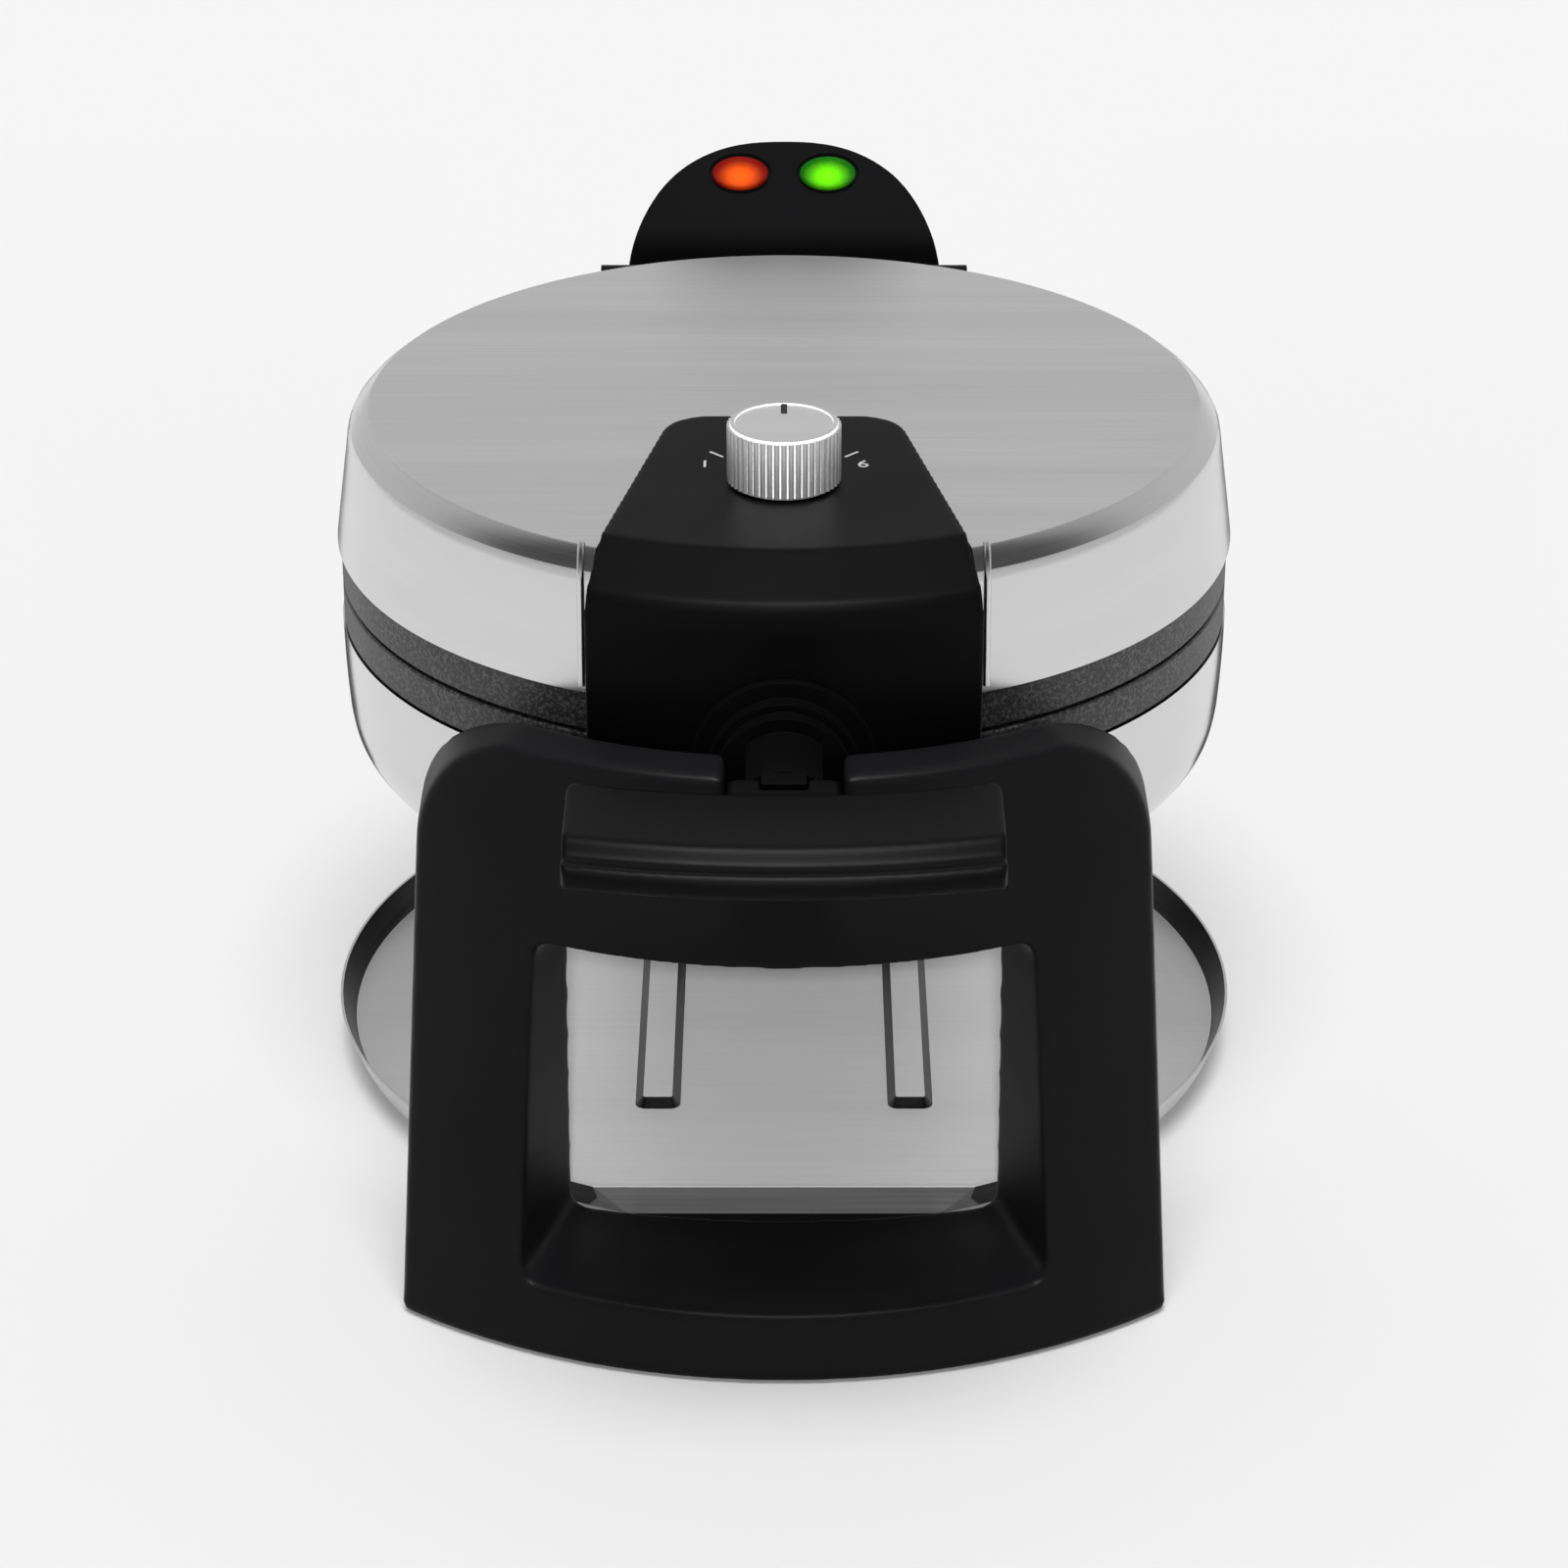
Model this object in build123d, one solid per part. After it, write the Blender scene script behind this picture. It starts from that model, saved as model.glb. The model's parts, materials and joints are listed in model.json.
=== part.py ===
"""Rotary belgian waffle maker: two deep grid plates in round steel covers, hinged
together at the back and carried between a front stand and a rear tower so that the
closed pair can be flipped over. Units are millimetres, +Z is up, -Y is the front."""

import os
from math import cos, hypot, radians, sin

from build123d import *

# Heights above the counter
SPIN_Z = 143.4
PLATE_GAP = 1.0
UPPER_RIM_Z = SPIN_Z + PLATE_GAP / 2
LOWER_RIM_Z = SPIN_Z - PLATE_GAP / 2
LID_TOP_Z = 190.5
PANEL_Z = 193.0
LOWER_BOTTOM_Z = 68.2
UNDERSIDE_Z = 1.0

# Covers
SHEET = 1.0
LID_FLAT_R = 111.8
LID_EDGE_R = 121.6
LID_EDGE_Z = 154.4
LOWER_EDGE_R = 121.0
LOWER_EDGE_Z = 132.2
LOWER_FLAT_R = 92.0

# Grid plates
RIM_R = 120.6
RIM_HEIGHT = 10.0
MOAT_OUTER_R = 108.0
MOAT_INNER_R = 98.0
MOAT_DEPTH = 4.0
CAVITY_R = 91.0
CAVITY_DEPTH = 12.5
PLATE_WALL = 3.2
PEG_BASE = 13.6
PEG_PITCH = 20.0
PEG_FIRST = 14.0
PEG_HEIGHT = 9.0
PEG_TAPER = 14.0
CROSS_WIDTH = 7.0
PLATE_BACK = CAVITY_DEPTH + PLATE_WALL

# Heating elements and heat shields
HEATER_R = 68.0
HEATER_TUBE_R = 3.3
HEATER_OPEN_DEG = 24.0
SHIELD_R = 106.0
SHIELD_GAP = 8.4
SHIELD_SHEET = 0.9
UPPER_BACK_Z = UPPER_RIM_Z + PLATE_BACK
LOWER_BACK_Z = LOWER_RIM_Z - PLATE_BACK
UPPER_SHIELD_Z = UPPER_BACK_Z + SHIELD_GAP
LOWER_SHIELD_Z = LOWER_BACK_Z - SHIELD_GAP

# Control housing on the lid
HOUSING_BACK_Y = -19.0
HOUSING_BACK_HALF = 30.0
HOUSING_FRONT_HALF = 50.0
HOUSING_FRONT_Y = -119.0
HOUSING_CORNER_R = 13.0
HOUSING_RIDGE_R = 108.5
HOUSING_CREASE_R = 124.6
HOUSING_CREASE_Z = 185.4
HOUSING_WALL_R = 127.5
HOUSING_WALL = 2.4
HOUSING_FIT = 0.3
KNOB_Y = -65.0
KNOB_R = 14.8
KNOB_BASE_Z = 193.4
KNOB_TOP_Z = 209.5
KNOB_FLUTES = 44
SPINDLE_R = 3.0
RUNNING_GAP = 0.1

# Front journal, split between the lid and the lower half
COLLARS = ((23.0, 130.0), (19.0, 134.0), (17.0, 138.0))
JOURNAL_R = 14.0
SADDLE_R = JOURNAL_R + 0.4
JOURNAL_END_Y = -156.0
SPLIT_GAP = 0.3
NECK_HALF = 9.5
NECK_R = 13.6
NECK_END_Y = -159.8

# Folding handle
FOLD_Y = -168.0
FOLD_Z = 147.0
TONGUE_HALF = 5.5
TONGUE_R = 6.4
EAR_GAP = 0.3
EAR_HALF = 12.8
HANDLE_PIN_R = 2.4
PADDLE_HALF = 52.2
PADDLE_BACK_Y = -172.7
PADDLE_TOP_Z = 157.5
PADDLE_BOW_R = 190.3

# Rear hinge and spin bearing
HINGE_Y = 124.7
HINGE_Z = 178.0
HINGE_R = 4.6
HINGE_PIN_R = 2.0
HINGE_BACK_Y = 136.5
HINGE_HALF = 54.0
HINGE_SEAT_Z = 158.5
LEAF_HALF = 42.6
LEAF_GAP = 0.4
LEAF_LOW_Z = 165.0
SHAFT_R = 10.0
SHAFT_BORE_R = 7.0
SHAFT_END_Y = 159.0
FLANGE_R = 18.0
BUSH_R = 13.5

# Rear tower
TOWER_FRONT_Y = 138.5
TOWER_BACK_Y = 172.0
COVER_DEPTH = 4.0
TOWER_CROWN_Z = 217.4
TOWER_FALL = 0.42
TOWER_HALF = 46.4
TOWER_SHOULDER_Z = 177.0
TOWER_FOOT_HALF = 63.5
TOWER_WALL = 3.0
FACE_TURN_Z = 186.0
FACE_TOP_Y = 150.0
FACE_TOP_Z = 208.5
LENS_X = 13.0
LENS_Z = 203.4

# Front stand
STAND_TOP_Z = 152.6
STAND_FOOT_HALF = 98.2
STAND_TOP_HALF = 91.4
STAND_CORNER_R = 34.0
STAND_FRONT_FOOT = (190.6, 161.0)
STAND_BACK_FOOT = (143.0, 239.0)
STAND_FRONT_TOP = (151.4, 135.0)
STAND_BACK_TOP = (140.0, 118.0)
STAND_TOP_FALL = 0.14
WINDOW_LOW_Z = 17.9
WINDOW_HIGH_Z = 104.2
WINDOW_LIP_Y = -190.0
WINDOW_LOW_HALF = 73.1
WINDOW_HIGH_HALF = 79.6

# Base plate, feet and drip tray
BASE_HALF = 40.0
BASE_LOW_Z = 1.6
BASE_TOP_Z = 4.6
BASE_FRONT_Y = -163.0
BASE_BACK_Y = 166.0
FOOT_R = 8.0
FOOT_TOP_Z = 3.0
FRONT_FOOT_X = 76.0
FRONT_FOOT_Y = -152.0
REAR_FOOT_X = 50.0
REAR_FOOT_Y = 155.0
BASE_SCREW_R = 2.0
TRAY_R = 127.0
TRAY_FLOOR_R = 123.6
TRAY_RIM_Z = 13.0
TRAY_SHEET = 0.8
TRAY_CUT_Y = 116.5
RIB_X = 34.8
RIB_WIDTH = 12.6
RIB_LENGTH = 127.0
RIB_RISE = 2.6

# The covers are drawn about X = 0, Y = 0. At the end everything moves along Y so
# that the origin lies midway between the handle's lip and the tower's back.
HANDLE_REACH = 211.68
FRAME_SHIFT = (HANDLE_REACH - TOWER_BACK_Y - COVER_DEPTH) / 2


def block(x0, x1, y0, y1, z0, z1):
    """A box between two corners."""
    centre = Pos((x0 + x1) / 2, (y0 + y1) / 2, (z0 + z1) / 2)
    return centre * Box(x1 - x0, y1 - y0, z1 - z0)


def upright(radius, z0, z1, x=0.0, y=0.0):
    """A cylinder standing along Z."""
    return Pos(x, y, (z0 + z1) / 2) * Cylinder(radius, z1 - z0)


def along_y(radius, y0, y1, z=SPIN_Z, x=0.0):
    """A cylinder lying along Y, on the spin axis unless told otherwise."""
    return Pos(x, (y0 + y1) / 2, z) * Rot(90, 0, 0) * Cylinder(radius, abs(y1 - y0))


def along_x(radius, x0, x1, y, z):
    """A cylinder lying along X."""
    return Pos((x0 + x1) / 2, y, z) * Rot(0, 90, 0) * Cylinder(radius, abs(x1 - x0))


def turned(points):
    """A closed outline of (radius, height) points turned about the cover axis."""
    outline = make_face(Polyline(*points, close=True))
    return revolve(Plane.XZ * outline, Axis.Z)


def rounded_face(points, rounding=None):
    """A closed outline with some of its corners rounded."""
    outline = make_face(Polyline(*points, close=True))
    for index, radius in (rounding or {}).items():
        corner = outline.vertices().sort_by_distance(points[index])[0]
        outline = fillet(corner, radius)
    return outline


def side_profile(points, half_width, rounding=None):
    """A (Y, Z) outline carried across X on both sides of the centre plane."""
    return extrude(Plane.YZ * rounded_face(points, rounding), half_width, both=True)


def front_profile(points, y0, y1, rounding=None):
    """An (X, Z) outline carried from y0 back to y1."""
    return extrude(Plane.XZ.offset(-y1) * rounded_face(points, rounding), y1 - y0)


def mirrored(shape):
    """The shape together with its mirror image across X = 0."""
    return shape + mirror(shape, Plane.YZ)


# Covers


def upper_cover():
    """Lid skin: flat top, creased shoulder and a slightly spread side band."""
    flat = (LID_FLAT_R, LID_TOP_Z)
    waist = (LID_FLAT_R + 5.8, LID_TOP_Z - 6.6)
    edge = (LID_EDGE_R, LID_EDGE_Z)
    outer = [
        Line((0, LID_TOP_Z), flat),
        ThreePointArc(flat, (LID_FLAT_R + 4.1, LID_TOP_Z - 2.4), waist),
        Line(waist, edge),
        Line(edge, (LID_EDGE_R - SHEET, LID_EDGE_Z)),
        Line((LID_EDGE_R - SHEET, LID_EDGE_Z), (waist[0] - SHEET, waist[1] - 0.2)),
        ThreePointArc(
            (waist[0] - SHEET, waist[1] - 0.2),
            (LID_FLAT_R + 3.2, LID_TOP_Z - 3.2),
            (LID_FLAT_R - 0.3, LID_TOP_Z - SHEET),
        ),
        Line((LID_FLAT_R - 0.3, LID_TOP_Z - SHEET), (0, LID_TOP_Z - SHEET)),
        Line((0, LID_TOP_Z - SHEET), (0, LID_TOP_Z)),
    ]
    skin = revolve(Plane.XZ * make_face(outer), Axis.Z)
    opening = extrude(Pos(0, 0, LID_EDGE_Z - 5) * housing_plan(HOUSING_FIT), 60)
    return skin - opening


def lower_cover():
    """Deep bowl of polished sheet with a flat bottom."""
    bend = (
        (LOWER_FLAT_R, LOWER_BOTTOM_Z),
        (104.6, 71.4),
        (113.4, 81.4),
        (118.6, 93.4),
        (120.2, 110.0),
        (LOWER_EDGE_R, LOWER_EDGE_Z),
    )
    inner = (
        (LOWER_FLAT_R, LOWER_BOTTOM_Z + SHEET),
        (104.2, 72.3),
        (112.6, 82.0),
        (117.6, 93.6),
        (119.2, 110.0),
        (LOWER_EDGE_R - SHEET, LOWER_EDGE_Z),
    )
    outline = [
        Line((0, LOWER_BOTTOM_Z), bend[0]),
        Spline(*bend, tangents=((1, 0), (0.02, 1))),
        Line(bend[-1], inner[-1]),
        Spline(*reversed(inner), tangents=((-0.02, -1), (-1, 0))),
        Line(inner[0], (0, LOWER_BOTTOM_Z + SHEET)),
        Line((0, LOWER_BOTTOM_Z + SHEET), (0, LOWER_BOTTOM_Z)),
    ]
    return revolve(Plane.XZ * make_face(outline), Axis.Z)


# Grid plates and heating


def peg_sketch():
    """Square peg feet in four quarters, clipped to the round baking cavity."""
    steps = [PEG_FIRST + PEG_PITCH * count for count in range(4)]
    places = [(a * x, b * y) for x in steps for y in steps for a in (1, -1) for b in (1, -1)]
    field = Circle(CAVITY_R - 5.0)
    feet = []
    for x, y in places:
        foot = Pos(x, y) * Rectangle(PEG_BASE, PEG_BASE) & field
        if foot is not None and foot.faces() and foot.area > 0.45 * PEG_BASE**2:
            feet.append(foot)
    return feet


def grid_plate():
    """One cast plate, baking side down on Z = 0, back at Z = PLATE_BACK."""
    body = turned(
        (
            (0, CAVITY_DEPTH),
            (CAVITY_R - 2.4, CAVITY_DEPTH),
            (CAVITY_R, 0),
            (MOAT_INNER_R, 0),
            (MOAT_INNER_R + 1.2, MOAT_DEPTH),
            (MOAT_OUTER_R - 1.2, MOAT_DEPTH),
            (MOAT_OUTER_R, 0),
            (RIM_R - 0.5, 0),
            (RIM_R, 0.5),
            (RIM_R, RIM_HEIGHT),
            (MOAT_OUTER_R - 4, RIM_HEIGHT),
            (CAVITY_R + PLATE_WALL, PLATE_BACK - 1),
            (CAVITY_R + PLATE_WALL - 1, PLATE_BACK),
            (0, PLATE_BACK),
        )
    )
    for foot in peg_sketch():
        body += extrude(Pos(0, 0, CAVITY_DEPTH) * foot, -PEG_HEIGHT, taper=PEG_TAPER)
    length = 2 * (CAVITY_R - 1)
    for turn in (0, 90):
        wall = Pos(0, 0, CAVITY_DEPTH) * Rot(0, 0, turn) * Rectangle(length, CROSS_WIDTH)
        ridge = extrude(wall, -(CAVITY_DEPTH - 1.5), taper=8)
        body += ridge & upright(CAVITY_R - 0.5, 0, CAVITY_DEPTH)
    return body


def heater(z):
    """Tubular element: an open ring with both ends turned in and then up."""
    start = radians(90 + HEATER_OPEN_DEG)
    end = radians(90 + 360 - HEATER_OPEN_DEG)
    middle = (start + end) / 2
    spots = [(HEATER_R * cos(a), HEATER_R * sin(a)) for a in (start, middle, end)]
    ring = ThreePointArc(*spots)
    tube = sweep(Plane(ring @ 0, z_dir=ring % 0) * Circle(HEATER_TUBE_R), path=ring)
    for x, y in (spots[0], spots[2]):
        tail = Pos(x, y - 14, 0) * Rot(90, 0, 0) * Cylinder(HEATER_TUBE_R, 28)
        tube += tail
        tube += Pos(x, y, 0) * Sphere(HEATER_TUBE_R)
    return Pos(0, 0, z) * tube


def heat_shield(z, away):
    """Shallow pan behind the element; its rim reaches back to the plate."""
    pan = turned(
        (
            (0, 0),
            (SHIELD_R, 0),
            (SHIELD_R, -away * (SHIELD_GAP - 5.9 + PLATE_BACK - RIM_HEIGHT)),
            (SHIELD_R - SHIELD_SHEET, -away * (SHIELD_GAP - 5.9 + PLATE_BACK - RIM_HEIGHT)),
            (SHIELD_R - SHIELD_SHEET, -away * SHIELD_SHEET),
            (0, -away * SHIELD_SHEET),
        )
    )
    return Pos(0, 0, z) * pan


# Control housing, thermostat and dial


def housing_plan(grow=0.0):
    """Plan outline of the control housing, wide at the front."""
    outline = make_face(
        Polyline(
            (-HOUSING_BACK_HALF, HOUSING_BACK_Y),
            (HOUSING_BACK_HALF, HOUSING_BACK_Y),
            (HOUSING_FRONT_HALF, HOUSING_FRONT_Y),
            (HOUSING_FRONT_HALF, HOUSING_FRONT_Y - 25),
            (-HOUSING_FRONT_HALF, HOUSING_FRONT_Y - 25),
            (-HOUSING_FRONT_HALF, HOUSING_FRONT_Y),
            close=True,
        )
    )
    back = outline.vertices().group_by(Axis.Y)[-1]
    outline = fillet(back, HOUSING_CORNER_R)
    if grow:
        outline = offset(outline, amount=grow, kind=Kind.INTERSECTION)
    return outline


def housing_form(inset):
    """Turned form that gives the housing its flat top, sloped brow and round front."""
    return turned(
        (
            (0, UPPER_RIM_Z),
            (HOUSING_WALL_R - inset, UPPER_RIM_Z),
            (HOUSING_WALL_R - inset, HOUSING_CREASE_Z - 7),
            (HOUSING_WALL_R - inset - 0.8, HOUSING_CREASE_Z - 2.5),
            (HOUSING_CREASE_R - inset, HOUSING_CREASE_Z),
            (HOUSING_RIDGE_R - inset / 2, PANEL_Z - inset),
            (0, PANEL_Z - inset),
        )
    )


def control_housing():
    """Black housing let into the lid, hollow, with two screw posts and a dial hole."""
    outer = extrude(Pos(0, 0, UPPER_RIM_Z) * housing_plan(), 60) & housing_form(0)
    inner = extrude(Pos(0, 0, UPPER_RIM_Z - 1) * housing_plan(-HOUSING_WALL), 60)
    shell = outer - (inner & housing_form(HOUSING_WALL))
    shell -= upright(RIM_R + 0.8, 0, UPPER_SHIELD_Z + 2.5)
    shell -= block(-14.4, 14.4, -135, -110, 100, UPPER_RIM_Z + RIM_HEIGHT + 0.4)
    for x in (-21, 21):
        shell += upright(3.6, UPPER_SHIELD_Z, PANEL_Z - 1, x, -38)
    shell -= upright(SPINDLE_R + 1.6, PANEL_Z - 10, PANEL_Z + 1, 0, KNOB_Y)
    return shell


def thermostat():
    """Snap-action control with its bush, seated on the heat shield."""
    body = block(-13, 13, KNOB_Y - 11, KNOB_Y + 11, UPPER_SHIELD_Z + 2, UPPER_SHIELD_Z + 14)
    body += block(-19, 19, KNOB_Y - 4, KNOB_Y + 4, UPPER_SHIELD_Z, UPPER_SHIELD_Z + 2)
    body += upright(SPINDLE_R + 1.3, UPPER_SHIELD_Z + 14, PANEL_Z - 0.4, 0, KNOB_Y)
    body -= upright(SPINDLE_R + RUNNING_GAP, UPPER_SHIELD_Z + 9, PANEL_Z + 1, 0, KNOB_Y)
    return body


def dial_spindle():
    """Turned by the dial, runs down into the control."""
    return upright(SPINDLE_R, UPPER_SHIELD_Z + 9.4, KNOB_BASE_Z + 9, 0, KNOB_Y)


def dial_knob():
    """Fluted metal dial with a crisp rim and a sunk pointer."""
    knob = upright(KNOB_R, KNOB_BASE_Z, KNOB_TOP_Z, 0, KNOB_Y)
    rims = knob.edges().filter_by(GeomType.CIRCLE)
    knob = chamfer(rims, 0.6)
    cutters = [
        upright(0.62, KNOB_BASE_Z - 1, KNOB_TOP_Z - 1.3, KNOB_R + 0.1, 0)
        for _ in range(KNOB_FLUTES)
    ]
    for count, cutter in enumerate(cutters):
        knob -= Pos(0, KNOB_Y, 0) * Rot(0, 0, 360 * count / KNOB_FLUTES) * cutter
    knob -= upright(KNOB_R - 1.6, KNOB_TOP_Z - 0.5, KNOB_TOP_Z + 1, 0, KNOB_Y)
    knob -= upright(SPINDLE_R + 0.02, KNOB_BASE_Z - 1, KNOB_BASE_Z + 9, 0, KNOB_Y)
    return knob


def dial_pointer():
    """Pointer bar on the dial, at the back when the dial is at rest."""
    floor = KNOB_TOP_Z - 0.5
    return block(-0.8, 0.8, KNOB_Y + 6.5, KNOB_Y + 12.6, floor, floor + 0.4)


# Front journal and handle


def half_boss(lower):
    """Stepped collars on the spin axis, kept on one side of the split."""
    boss = None
    for radius, reach in COLLARS:
        ring = along_y(radius, -reach, -RIM_R)
        boss = ring if boss is None else boss + ring
    boss -= upright(HOUSING_WALL_R, 100, 190)
    if lower:
        return boss & block(-40, 40, -160, -100, 60, SPIN_Z - SPLIT_GAP / 2)
    return boss & block(-40, 40, -160, -100, SPIN_Z + SPLIT_GAP / 2, 220)


def lid_journal():
    """Upper half of the front bearing with the neck that ends in the handle tongue."""
    low = SPIN_Z + SPLIT_GAP / 2
    root = 2 - COLLARS[-1][1]
    piece = half_boss(lower=False)
    pad = block(-14, 14, -HOUSING_WALL_R - 1, -RIM_R - 0.7, UPPER_RIM_Z, UPPER_RIM_Z + RIM_HEIGHT)
    piece += pad
    crown = along_y(NECK_R, NECK_END_Y - 1, root)
    piece += crown & block(-NECK_HALF, NECK_HALF, NECK_END_Y, root, low, SPIN_Z + 30)
    tongue = along_x(TONGUE_R, -TONGUE_HALF, TONGUE_HALF, FOLD_Y, FOLD_Z)
    bar = block(
        -TONGUE_HALF, TONGUE_HALF, FOLD_Y, NECK_END_Y + 2, FOLD_Z - 3, FOLD_Z + TONGUE_R
    )
    cap = block(
        -TONGUE_HALF, TONGUE_HALF, FOLD_Y + 2, NECK_END_Y + 2, FOLD_Z, PADDLE_TOP_Z - 0.9
    )
    piece += tongue + bar + cap
    return piece - along_x(HANDLE_PIN_R + RUNNING_GAP, -9, 9, FOLD_Y, FOLD_Z)


def lower_journal():
    """Lower half of the front bearing on a curved bracket under the split."""
    high = SPIN_Z - SPLIT_GAP / 2
    bracket = block(-34, 34, -135, -100, 108, LOWER_RIM_Z)
    bracket &= upright(HOUSING_WALL_R, 90, 160)
    bracket -= upright(LOWER_EDGE_R + 0.3, 90, 160)
    piece = bracket + half_boss(lower=True)
    barrel = along_y(JOURNAL_R, JOURNAL_END_Y, 2 - COLLARS[-1][1])
    return piece + (barrel & block(-20, 20, -170, -120, 100, high))


def paddle_section():
    """Side outline of the paddle: flat top, ridge, finger groove and rounded lip."""
    back, top = PADDLE_BACK_Y, PADDLE_TOP_Z
    points = (
        (back, top),
        (back - 27.9, top),
        (back - 31.7, top - 3.6),
        (back - 34.3, top - 3.8),
        (back - 36.5, top - 2.8),
        (back - 39.1, top - 5.7),
        (back - 38.5, top - 8.9),
        (back - 33.3, top - 9.7),
        (back - 26.3, top - 8.5),
        (back - 10.3, top - 8.1),
        (back, top - 6.9),
    )
    rounding = {0: 1.2, 1: 4.0, 2: 2.6, 3: 4.0, 4: 1.7, 5: 1.6, 6: 1.4, 10: 1.5}
    return Plane.YZ * rounded_face(points, rounding)


def handle_paddle():
    """Broad folding paddle, bowed in plan like the stand, with a two-eared yoke."""
    centre = PADDLE_BACK_Y + PADDLE_BOW_R
    paddle = revolve(paddle_section(), Axis((0, centre, 0), (0, 0, 1)))
    plan = []
    for reach, half in ((PADDLE_BOW_R - 0.5, PADDLE_HALF), (PADDLE_BOW_R + 39.4, PADDLE_HALF)):
        edge = centre - (reach**2 - half**2) ** 0.5
        plan.append(((-half, edge), (0, centre - reach), (half, edge)))
    near, far = plan
    outline = make_face(
        [
            ThreePointArc(*near),
            Line(near[2], far[2]),
            ThreePointArc(far[2], far[1], far[0]),
            Line(far[0], near[0]),
        ]
    )
    outline = fillet(outline.vertices(), 3.5)
    paddle &= extrude(Pos(0, 0, FOLD_Z - 10) * outline, 40)
    inner = TONGUE_HALF + EAR_GAP
    paddle += along_x(TONGUE_R, -EAR_HALF, EAR_HALF, FOLD_Y, FOLD_Z)
    yoke = (
        (FOLD_Y - 10, PADDLE_TOP_Z - 0.2),
        (FOLD_Y + 4.4, PADDLE_TOP_Z - 0.2),
        (FOLD_Y + TONGUE_R - 0.1, FOLD_Z + 3),
        (FOLD_Y + TONGUE_R - 0.1, FOLD_Z),
        (FOLD_Y - TONGUE_R + 0.1, FOLD_Z),
        (FOLD_Y - 10, FOLD_Z + 3),
    )
    paddle += side_profile(yoke, EAR_HALF, {1: 2.5})
    wedge = make_face(
        Polyline(
            (EAR_HALF - 3, FOLD_Y + 7),
            (EAR_HALF + 1, FOLD_Y + 7),
            (EAR_HALF + 1, FOLD_Y + 1),
            close=True,
        )
    )
    paddle -= mirrored(extrude(Pos(0, 0, FOLD_Z - 10) * wedge, 30))
    paddle -= along_x(TONGUE_R + 0.6, -inner, inner, FOLD_Y, FOLD_Z)
    paddle -= block(-inner, inner, FOLD_Y - 2, FOLD_Y + 9, FOLD_Z - 10, PADDLE_TOP_Z + 5)
    return paddle - along_x(HANDLE_PIN_R, -20, 20, FOLD_Y, FOLD_Z)


# Rear hinge and spin bearing


def hinge_block():
    """Carrier behind the covers: two arms for the lid pin, a seat for the shaft."""
    body = block(-HINGE_HALF, HINGE_HALF, 80, HINGE_BACK_Y, 104, HINGE_SEAT_Z)
    arms = block(LEAF_HALF + LEAF_GAP, HINGE_HALF, 80, HINGE_BACK_Y, 130, HINGE_Z)
    arms += along_x(HINGE_R, LEAF_HALF + LEAF_GAP, HINGE_HALF, HINGE_Y, HINGE_Z)
    arms -= block(40, 60, 80, HINGE_Y - HINGE_R, HINGE_SEAT_Z + 2, 200)
    body += mirrored(arms)
    body -= upright(LOWER_EDGE_R + 0.3, 90, UPPER_RIM_Z - 0.5)
    body -= upright(LID_EDGE_R + 0.9, UPPER_RIM_Z - 0.6, 200)
    body -= along_x(HINGE_PIN_R, -60, 60, HINGE_Y, HINGE_Z)
    return body - along_y(FLANGE_R + 0.1, HINGE_BACK_Y - 4, HINGE_BACK_Y + 1)


def hinge_pin():
    """Pin across the hinge, held in the two arms."""
    reach = HINGE_HALF - 0.4
    return along_x(HINGE_PIN_R, -reach, reach, HINGE_Y, HINGE_Z)


def hinge_leaf():
    """Leaf behind the lid that turns on the pin."""
    leaf = block(-LEAF_HALF, LEAF_HALF, 90, HINGE_BACK_Y, LEAF_LOW_Z, HINGE_Z)
    leaf += along_x(HINGE_R, -LEAF_HALF, LEAF_HALF, HINGE_Y, HINGE_Z)
    leaf += block(-LEAF_HALF, LEAF_HALF, 90, HINGE_Y, HINGE_Z - 2, HINGE_Z + HINGE_R)
    cone = turned(
        (
            (0, 150),
            (LID_EDGE_R + 0.85, 150),
            (LID_FLAT_R + 6.05, LID_TOP_Z - 6.6),
            (LID_FLAT_R + 5.7, LID_TOP_Z - 4.3),
            (LID_FLAT_R + 4.7, LID_TOP_Z - 2.2),
            (0, LID_TOP_Z - 2.2),
        )
    )
    leaf -= cone
    return leaf - along_x(HINGE_PIN_R + RUNNING_GAP, -60, 60, HINGE_Y, HINGE_Z)


def spin_shaft():
    """Hollow shaft that carries the covers and lets the wiring through."""
    shaft = along_y(FLANGE_R, HINGE_BACK_Y - 4, HINGE_BACK_Y)
    shaft += along_y(SHAFT_R, HINGE_BACK_Y - 1, SHAFT_END_Y)
    return shaft - along_y(SHAFT_BORE_R, HINGE_BACK_Y - 5, SHAFT_END_Y + 1)


def stop_collar():
    """Collar that keeps the shaft in and carries the turning stop lug."""
    near = TOWER_FRONT_Y + 13.5
    collar = along_y(14.0, near, near + 4)
    collar += block(12, 20, near, near + 4, SPIN_Z - 2.6, SPIN_Z + 2.6)
    return collar - along_y(SHAFT_R, near - 1, near + 5)


# Rear tower


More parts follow.
